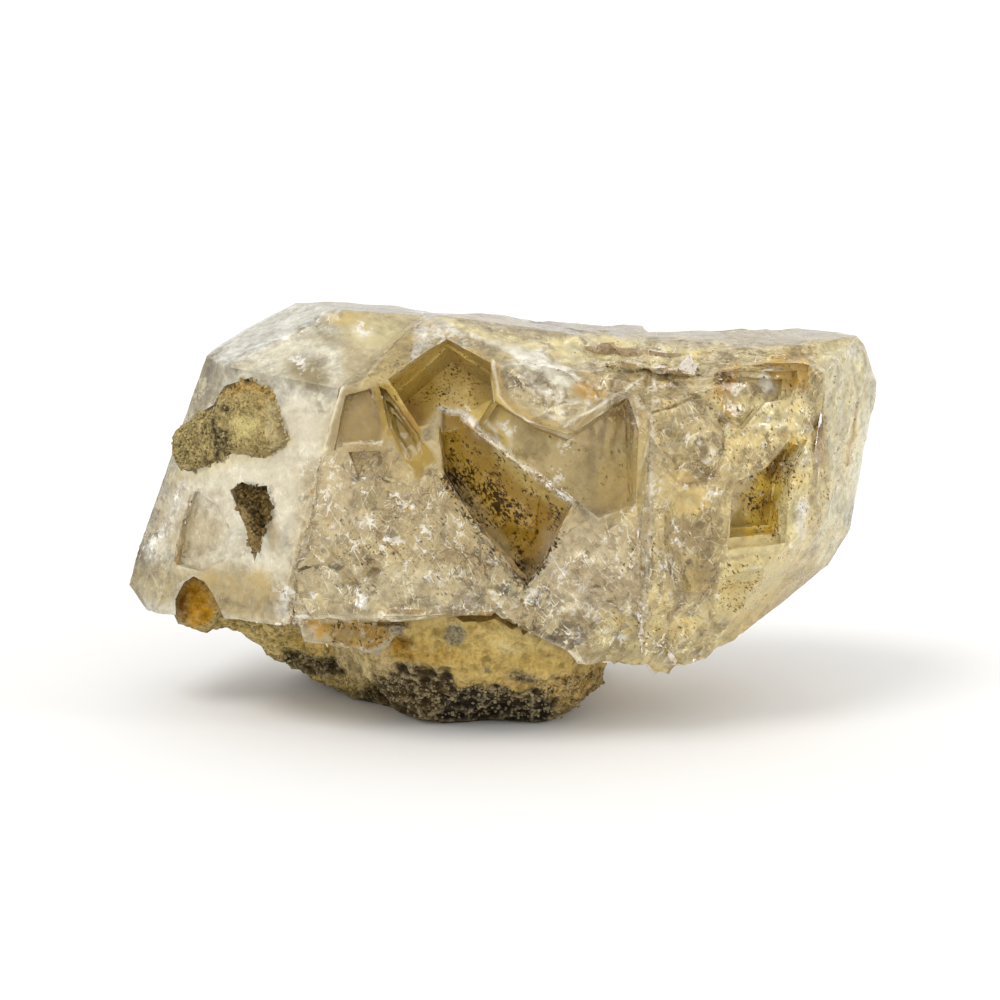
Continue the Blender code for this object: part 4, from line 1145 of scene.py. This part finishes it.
# %% Colour the quartz
# the white of the wisps also serves as the painted highlight of the sparkles
WISP_AND_GLINT_WHITE, SPLINTER_SHADOW_BROWN, SPECK_BROWN = linear(252, 250, 240), linear(132, 106, 62), linear(48, 28, 6)
PALE_DUST, BROWN_DUST = linear(196, 168, 104), linear(96, 66, 14)
STREAK_TURN, STREAK_STRETCH, STREAK_SIZE = (0.0, -0.75, 0.0), (7.0, 1.0, 1.0), 0.8 * MM
GRAIN_TURN, GRAIN_STRETCH, GRAIN_SIZE = (0.0, -0.8, 0.0), (3.0, 1.0, 1.0), 0.5 * MM

streaks = quartz.noise(quartz.turned(place, STREAK_TURN, STREAK_STRETCH), STREAK_SIZE, 3.0, 0.2, 0.6)
shade = quartz.part(facets, 1)
brightness = 1 + (stir - 0.5) * wisp_amount * 0.65 + (shade - 0.5) * wisp_amount * 0.36
brightness = brightness + (streaks - 0.5) * 0.35 - (speck_noise - 0.48) * speck_amount * 1.5
colour = quartz.scaled(tint, brightness)
grain = quartz.noise(quartz.turned(place, GRAIN_TURN, GRAIN_STRETCH), GRAIN_SIZE, 3.0, 0.4, 0.7)
dusty = speck_amount.between(0.4, 1.1)
colour = quartz.mixed(grain.between(0.49, 0.56) * dusty * 0.5, colour, PALE_DUST)
colour = quartz.mixed((1 - grain).between(0.52, 0.6) * dusty * 0.6, colour, BROWN_DUST)
# a painted shadow: a brown stroke beside each splinter
shadows = splinters.between(0.8, 0.86) * (1 - splinters.between(0.86, 0.9)) * wisp_amount
colour = quartz.mixed(shadows * 0.55, colour, SPLINTER_SHADOW_BROWN)
colour = quartz.mixed(wisps * 0.75, colour, WISP_AND_GLINT_WHITE)
# painted highlight: the sparkles are mixed in as white
colour = quartz.mixed(sparkles * 0.95, colour, WISP_AND_GLINT_WHITE)
colour = quartz.mixed(specks * 0.92, colour, SPECK_BROWN)
print("nodes with the colour:", len(quartz.tree.nodes))

# %% [markdown]
# ## Clear and milky quartz
#
# Clear quartz bends light by an index of 1.544 and swallows a little of the blue on the way through, which
# gives the champagne colour. That is the glass half of the material. The milky half is an ordinary surface in
# the painted colours. Clouds of noise decide, against the painted milkiness, which of the two shows, so that
# the stone is clear with milky veils in it and never grey all over.

# %% Mix the clear and the milky half
QUARTZ_INDEX, QUARTZ_SHARP = 1.544, 20  # the index, and the angle from which edges stay sharp, in degrees
SWALLOWED_COLOUR, SWALLOWED_DENSITY = (0.93, 0.82, 0.56, 1), 36.0
ARC_HEIGHT = 0.04 * MM

clear_colour = quartz.mixed(0.1, colour, (1, 1, 1, 1))
veil = milkiness + (stir - 0.5) * 0.4 + (streaks - 0.5) * 0.2 + (shade - 0.5) * wisp_amount * 0.3

relief = quartz.bump(arcs, ARC_HEIGHT, 0.5, leaning)
glass = quartz.surface(
    Base_Color=clear_colour,
    Roughness=milkiness.between(0.4, 1.0) * 0.35 + 0.04,
    IOR=QUARTZ_INDEX,
    Transmission_Weight=1.0,
    Normal=relief,
)
milky = quartz.surface(
    Base_Color=colour,
    Roughness=0.3,
    IOR=QUARTZ_INDEX,
    Specular_IOR_Level=0.15,
    Coat_Weight=(0.85 - milkiness.between(0.75, 1.0) * 0.6) * (1 - specks),
    Coat_Roughness=0.03,
    Normal=relief,
)
cloudy = veil.between(0.3, 1.1) + wisps + specks
stone = quartz.node("ShaderNodeMixShader", {}, {0: cloudy, 1: glass, 2: milky})
swallowed = {"Color": SWALLOWED_COLOUR, "Density": SWALLOWED_DENSITY}
swallowed = quartz.node("ShaderNodeVolumeAbsorption", {}, swallowed)
skin.data.materials.append(quartz.finish(stone, swallowed))
alone(skin)
bpy.ops.object.shade_smooth_by_angle(angle=radians(QUARTZ_SHARP))
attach(skin, "root")
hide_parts("quartz_crystals")
print("quartz material:", len(quartz.tree.nodes), "nodes")

# %% [markdown]
# ## The rocks
#
# The host rock is cream to tan where it is fresh and ends below in a dark, porous crust. The patch in the
# left face is the same rock, tan with a grey-brown lobe, and the chip below it is dark and crumbly. All three
# are copies of their solids with a finer net, pressed into lumps and pits. Where a rock comes close to the
# quartz it is drawn into it, because in nature they are one, and the flat cut below stays flat.

# %% Roughen a rock
quartz_net = bmesh.new()
quartz_net.from_mesh(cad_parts["quartz_crystals"].data)
quartz_surface = BVHTree.FromBMesh(quartz_net)
quartz_net.free()
CUT_KEPT, SWELL_FROM = 0.9 * MM, 0.5 * MM  # heights above the cut from which a rock moves and swells freely
ROCK_SWELLS = 0.25 * MM  # how far a rock grows beyond its solid
GAP_REACH, GROWN_IN = 0.5 * MM, 0.12 * MM  # rock nearer to the quartz than this is grown into it, by this
ANY_ROOM = (-1.0 * MM, 0.0)  # lumps go right up to the quartz
ROCK_ROUNDS = 7


def off_quartz(points):
    """How far each point is off the solid of the quartz."""
    return np.array([quartz_surface.find_nearest(Vector(point))[3] for point in points])


def rough_copy(node, name, shown_edge, hidden_edge, room, lumps):
    """A copy of a rock with a fine net and lumps: the kind, the size and the depth of each pattern.

    Nearer to the quartz than the first distance in room no lump goes, and beyond the second all go.
    """
    piece = merged_copy(node, name)
    halve_long_edges(piece, shown_edge, hidden_edge, ROCK_ROUNDS)
    weigh(piece, "above_cut", rise(points_of(piece)[:, 2], 0.0, SWELL_FROM))
    swell = piece.modifiers.new("swell", "DISPLACE")
    swell.vertex_group, swell.strength, swell.mid_level = "above_cut", ROCK_SWELLS, 0
    bpy.ops.object.modifier_apply(modifier=swell.name)
    points = points_of(piece)
    for index, point in enumerate(points):
        nearest, _, _, off = quartz_surface.find_nearest(Vector(point))
        if SAME_PLACE < off < GAP_REACH:
            points[index] += (np.array(nearest) - point) * (1 + GROWN_IN / off)
    move_points(piece, points)
    free = rise(off_quartz(points), *room) * rise(points[:, 2], 0.05 * MM, CUT_KEPT)
    weigh(piece, "free", free)
    for kind, size, depth, settings in lumps:
        press(piece, kind, size, depth, "free", **settings)
    return piece


matrix = rough_copy("host_rock", "host_matrix", 0.5 * MM, 1.2 * MM, room=(0.3 * MM, 1.4 * MM), lumps=(
    ("CLOUDS", 3.0 * MM, 1.1 * MM, {}),
    ("VORONOI", 1.7 * MM, 0.8 * MM, SQUARED),
    ("VORONOI", 0.8 * MM, 0.4 * MM, SQUARED),
))
patch = rough_copy("rock_patch", "matrix_patch", 0.26 * MM, 0.8 * MM, room=ANY_ROOM, lumps=(
    ("CLOUDS", 1.6 * MM, 0.5 * MM, dict(middle=0.3)),
    ("VORONOI", 0.7 * MM, 0.35 * MM, SQUARED),
))
chip = rough_copy("rock_chip", "matrix_chip", 0.22 * MM, 0.6 * MM, room=ANY_ROOM, lumps=(
    ("CLOUDS", 1.3 * MM, 0.5 * MM, dict(middle=0.3)),
    ("VORONOI", 0.6 * MM, 0.35 * MM, SQUARED),
))
print("points of the rocks:", [len(rock.data.vertices) for rock in (matrix, patch, chip)])

# %% [markdown]
# ## Crumbs
#
# Loose grains of rock stick to the patch and the chip, most of them where they meet the quartz, and to the
# low crust of the host rock. Each is a small ball of few faces, squeezed and turned at random from a fixed
# seed, so that every run gives the same crumbs.

# %% Scatter crumbs
FULL_TURN = 6.28


def add_crumbs(piece, count, smallest, largest, seed, among):
    """Joins crumbs to a rock, each at one of its points, chosen by the shares in among."""
    chosen_by = np.random.default_rng(seed)
    points = points_of(piece)
    chosen = chosen_by.choice(len(points), count, replace=False, p=among / among.sum())
    deselect()
    bpy.ops.mesh.primitive_ico_sphere_add(subdivisions=1, radius=1.0)
    crumb = bpy.context.object
    crumbs = []
    for index in chosen:
        twin = bpy.data.objects.new("crumb", crumb.data)
        twin.location = points[index]
        twin.scale = chosen_by.uniform(smallest, largest) * chosen_by.uniform(0.5, 1.0, 3)
        twin.rotation_euler = chosen_by.uniform(0, FULL_TURN, 3)
        bpy.context.scene.collection.objects.link(twin)
        crumbs.append(twin)
    bpy.data.objects.remove(crumb)
    alone(piece)
    for twin in crumbs:
        twin.select_set(True)
    bpy.ops.object.join()


LEAST, ANYWHERE = 1e-6, 0.15  # the shares that points far from the quartz have in the crumbs


def near_quartz(piece, reach):
    """1 at the points that lie within reach of the quartz and look to the eye, and 0 far from it."""
    points = points_of(piece)
    close = rise(reach - off_quartz(points), 0, reach / 2)
    return close * facing_of(points, normals_of(piece)) + LEAST


add_crumbs(patch, 420, 0.12 * MM, 0.32 * MM, seed=1, among=near_quartz(patch, 0.6 * MM) + ANYWHERE)
add_crumbs(chip, 160, 0.15 * MM, 0.4 * MM, seed=2, among=near_quartz(chip, 2.0 * MM) + ANYWHERE)
points = points_of(matrix)
low = rise(-points[:, 2], -7.0 * MM, -5.0 * MM) * rise(points[:, 2], 0.6 * MM, 1.0 * MM)
shown_and_low = low * facing_of(points, normals_of(matrix)) + LEAST
add_crumbs(matrix, 600, 0.12 * MM, 0.36 * MM, seed=3, among=shown_and_low)
print("points with their crumbs:", [len(rock.data.vertices) for rock in (matrix, patch, chip)])

# %% [markdown]
# ## The colours of the rocks
#
# The rocks are painted like the quartz, with marks over a ground colour, and the third value of a mark says
# how crusty the place is. Hollows are then made dark as painted shade and ridges pale as painted highlights,
# most where the crust is thick.

# %% Paint the rocks
MATRIX_MARKS = (  # the mark, its colour, how strong it is and how crusty
    (area("280,600 620,600 620,672 589,671 550,677 538,687 519,692 499,684 460,687 448,670 415,663 390,660 "
          "280,640", 5), (202, 173, 100), 0.97, 0.15),
    (area("360,664 415,664 448,672 462,690 499,686 519,694 545,688 552,700 540,740 360,740", 5),
     (76, 60, 30), 0.97, 1.0),
    (area("180,560 372,640 372,690 280,690 180,640", 10), (204, 180, 112), 0.9, 0.6),
    (area("284,652 346,656 346,676 300,676 281,660"), (66, 54, 26), 0.9, 0.9),
    (line("290,640 316,646 332,648", 9, 8), (208, 176, 98), 0.9, 0.2),
    (area("332,644 360,650 374,672 366,682 340,668"), (206, 186, 136), 0.9, 0.2),
    (spot(196, 602, 20, 26), (188, 136, 12), 0.95, 0.2),
    (spot(184, 606, 6, 18), (112, 72, 8), 0.8, 0.4),
    (area("372,618 400,622 412,640 412,662 392,652 372,650", 8), (146, 104, 6), 0.92, 0.4),
    # a painted shadow line
    (line("400,630 406,646 412,660", 5, 5), (96, 66, 16), 0.8, 0.5),
    (area("372,656 392,658 398,672 384,678 372,668", 5), (206, 182, 128), 0.85, 0.3),
    (spot(454, 634, 12, 11, 0, 6), (146, 138, 110), 0.9, 0.5),
    (spot(523, 677, 15, 6, 10, 6), (104, 94, 74), 0.8, 0.9),
    (spot(485, 670, 4, 4, 0, 4), (126, 118, 96), 0.7, 0.5),
    (spot(508, 648, 14, 5, 10), (208, 196, 152), 0.6, 0.2),
    (area("540,688 556,675 608,668 606,690 572,704 548,704", 5), (182, 150, 84), 0.9, 0.8),
    (line("541,688 555,674 580,670 608,667"), (206, 176, 112), 0.85, 0.3),
    (spot(430, 655, 40, 8, 6, 10), (190, 152, 70), 0.6, 0.3),
    (spot(520, 640, 36, 12, 6, 12), (220, 196, 128), 0.6, 0.1),
    # painted shadow: the base of the rock is made near black where the contact shadow falls
    (area("440,700 474,690 520,700 556,696 550,724 440,724", 10), (28, 20, 10), 0.85, 1.0),
)
PATCH_MARKS = (
    (area("208,380 292,380 292,460 225,460", 8), (176, 156, 102), 0.95, 0.5),
    (spot(244, 426, 15, 11, 20), (216, 200, 134), 0.95, 0.1),
    (spot(226, 412, 5, 5, 0, 4), (62, 54, 36), 0.9, 1.0),
    (area("166,410 214,410 228,450 180,474 160,460", 8), (162, 144, 92), 0.95, 0.8),
    # painted shade between the two lobes
    (spot(222, 440, 8, 14, -30), (84, 74, 50), 0.8, 0.9),
    (spot(262, 398, 12, 8, 30, 6), (176, 150, 92), 0.7, 0.3),
    (line("228,394 248,385 270,392 281,408 280,432", 7, 6), (192, 152, 78), 0.8, 0.5),
    # painted shade between the two lobes
    (line("214,424 222,440 216,452", 7, 6), (78, 68, 46), 0.8, 0.9),
    (area("264,404 284,404 292,440 274,452 266,430"), (206, 188, 140), 0.8, 0.15),
)
CHIP_MARKS = (
    (area("226,494 244,506 256,540 256,568 244,560", 3), (168, 142, 94), 0.85, 0.2),
    (line("266,492 266,520 252,562", 4, 4), (184, 154, 98), 0.9, 0.3),
)


UNMARKED_CRUST = 0.6


def paint_rock(piece, ground, marks, hollow_shade_colour, ridge_highlight_colour):
    """Stores each point's colour and crust, with painted shade in hollows and painted highlight on ridges."""
    points, normals = points_of(piece), normals_of(piece)
    facing = facing_of(points, normals)
    inside = hollowness(piece)
    colours = np.tile(np.array(linear(*ground)[:3]), (len(points), 1))
    crust = np.full(len(points), UNMARKED_CRUST)
    wandered = wandering(points, 5)
    for mark, colour, strength, crusty in marks:
        colours, crust = over(colours, crust, mark(*wandered) * facing, colour, strength, crusty)
    # painted shade in the hollows and painted highlights on the ridges
    colours, _ = over(colours, crust, rise(inside, 0.02, 0.2) * (0.35 + 0.65 * crust), hollow_shade_colour, 0.8, 0)
    colours, _ = over(colours, crust, rise(-inside, 0.02, 0.2) * (0.3 + 0.7 * crust), ridge_highlight_colour, 0.6, 0)
    store_colour(piece, "tint", colours)
    store_value(piece, "crust", crust)


paint_rock(matrix, (122, 102, 58), MATRIX_MARKS, hollow_shade_colour=(20, 14, 5), ridge_highlight_colour=(188, 172, 134))
paint_rock(patch, (140, 120, 78), PATCH_MARKS, hollow_shade_colour=(66, 54, 30), ridge_highlight_colour=(196, 176, 124))
paint_rock(chip, (58, 44, 18), CHIP_MARKS, hollow_shade_colour=(14, 10, 4), ridge_highlight_colour=(140, 114, 60))
print("marks on the rocks:", len(MATRIX_MARKS + PATCH_MARKS + CHIP_MARKS))

# %% [markdown]
# ## The surface of the rocks
#
# Rock is dull and grainy. Cells give grains of their own shades, coarse noise paints pale highlights on the
# raised parts of the bump, and fine noise paints dark shade into its pits, all over the painted colour. The
# same noise raises and sinks the surface as a bump, which is enough for grains that are finer than the net.

# %% Make the rock material
# a painted highlight for the raised parts of the bump, and painted shade for its pits
BUMP_TOP_HIGHLIGHT, PIT_SHADE = linear(184, 168, 126), linear(24, 18, 8)
FINE_HEIGHT, BENT_HEIGHT = 0.18 * MM, 0.3 * MM


def rock_material(name, grain_size, contrast):
    """Grains of their own shades, with painted highlights on raised parts and painted shade in the pits."""
    rock = Recipe(name)
    place = rock.place()
    tint = rock.painted("tint", "Color")
    crusty = rock.painted("crust")
    bent = rock.noise(place, grain_size * 2, 5.0, 0.5, 0.7)
    fine = rock.noise(place, grain_size / 2, 4.0, 0.5, 0.75)
    shade = rock.part(rock.cells(place, grain_size), 0)
    uneven = crusty * 0.7 + 0.3
    spread = (bent - 0.5) * 3 + (shade - 0.5) * 0.5 + (fine - 0.5) * 2
    colour = rock.scaled(tint, 1 + spread * uneven * contrast)
    # painted highlight where the coarse bump is high
    colour = rock.mixed(bent.between(0.55, 0.66) * uneven * 0.5, colour, BUMP_TOP_HIGHLIGHT)
    # painted shade where the fine bump is low
    pits = (1 - fine).between(0.5, 0.6) * (crusty * 0.9 + 0.03)
    colour = rock.mixed(pits, colour, PIT_SHADE)
    relief = rock.bump(fine, FINE_HEIGHT, 0.8)
    relief = rock.bump(bent, BENT_HEIGHT, 0.6, relief)
    return rock.finish(rock.surface(Base_Color=colour, Roughness=0.9, Specular_IOR_Level=0.2, Normal=relief))


ROCK_SHARP = 60  # edges with a larger angle stay sharp, in degrees


def dress(piece, node):
    """Smooths a rock, hangs it on the root body, and hides the solid that it stands in for."""
    alone(piece)
    bpy.ops.object.shade_smooth_by_angle(angle=radians(ROCK_SHARP))
    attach(piece, "root")
    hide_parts(node)
    print(piece.name, "has", len(piece.data.polygons), "faces")


matrix.data.materials.append(rock_material("host_rock_surface", 0.7 * MM, contrast=0.8))
patch.data.materials.append(rock_material("patch_surface", 0.5 * MM, contrast=0.8))
chip.data.materials.append(rock_material("chip_surface", 0.4 * MM, contrast=0.9))
dress(matrix, "host_rock")
dress(patch, "rock_patch")
dress(chip, "rock_chip")

# %% [markdown]
# ## The sizes
#
# The dressed group is meant to be as large as its solids. Both boxes are gathered here, and the box of the
# dressed group is printed.

# %% Gather the sizes and finish
size = {"cad": [list(corner) for corner in CAD_BOX], "visual": [list(corner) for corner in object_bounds()]}
print("visual box in mm:", [[round(v / MM, 2) for v in corner] for corner in size["visual"]])
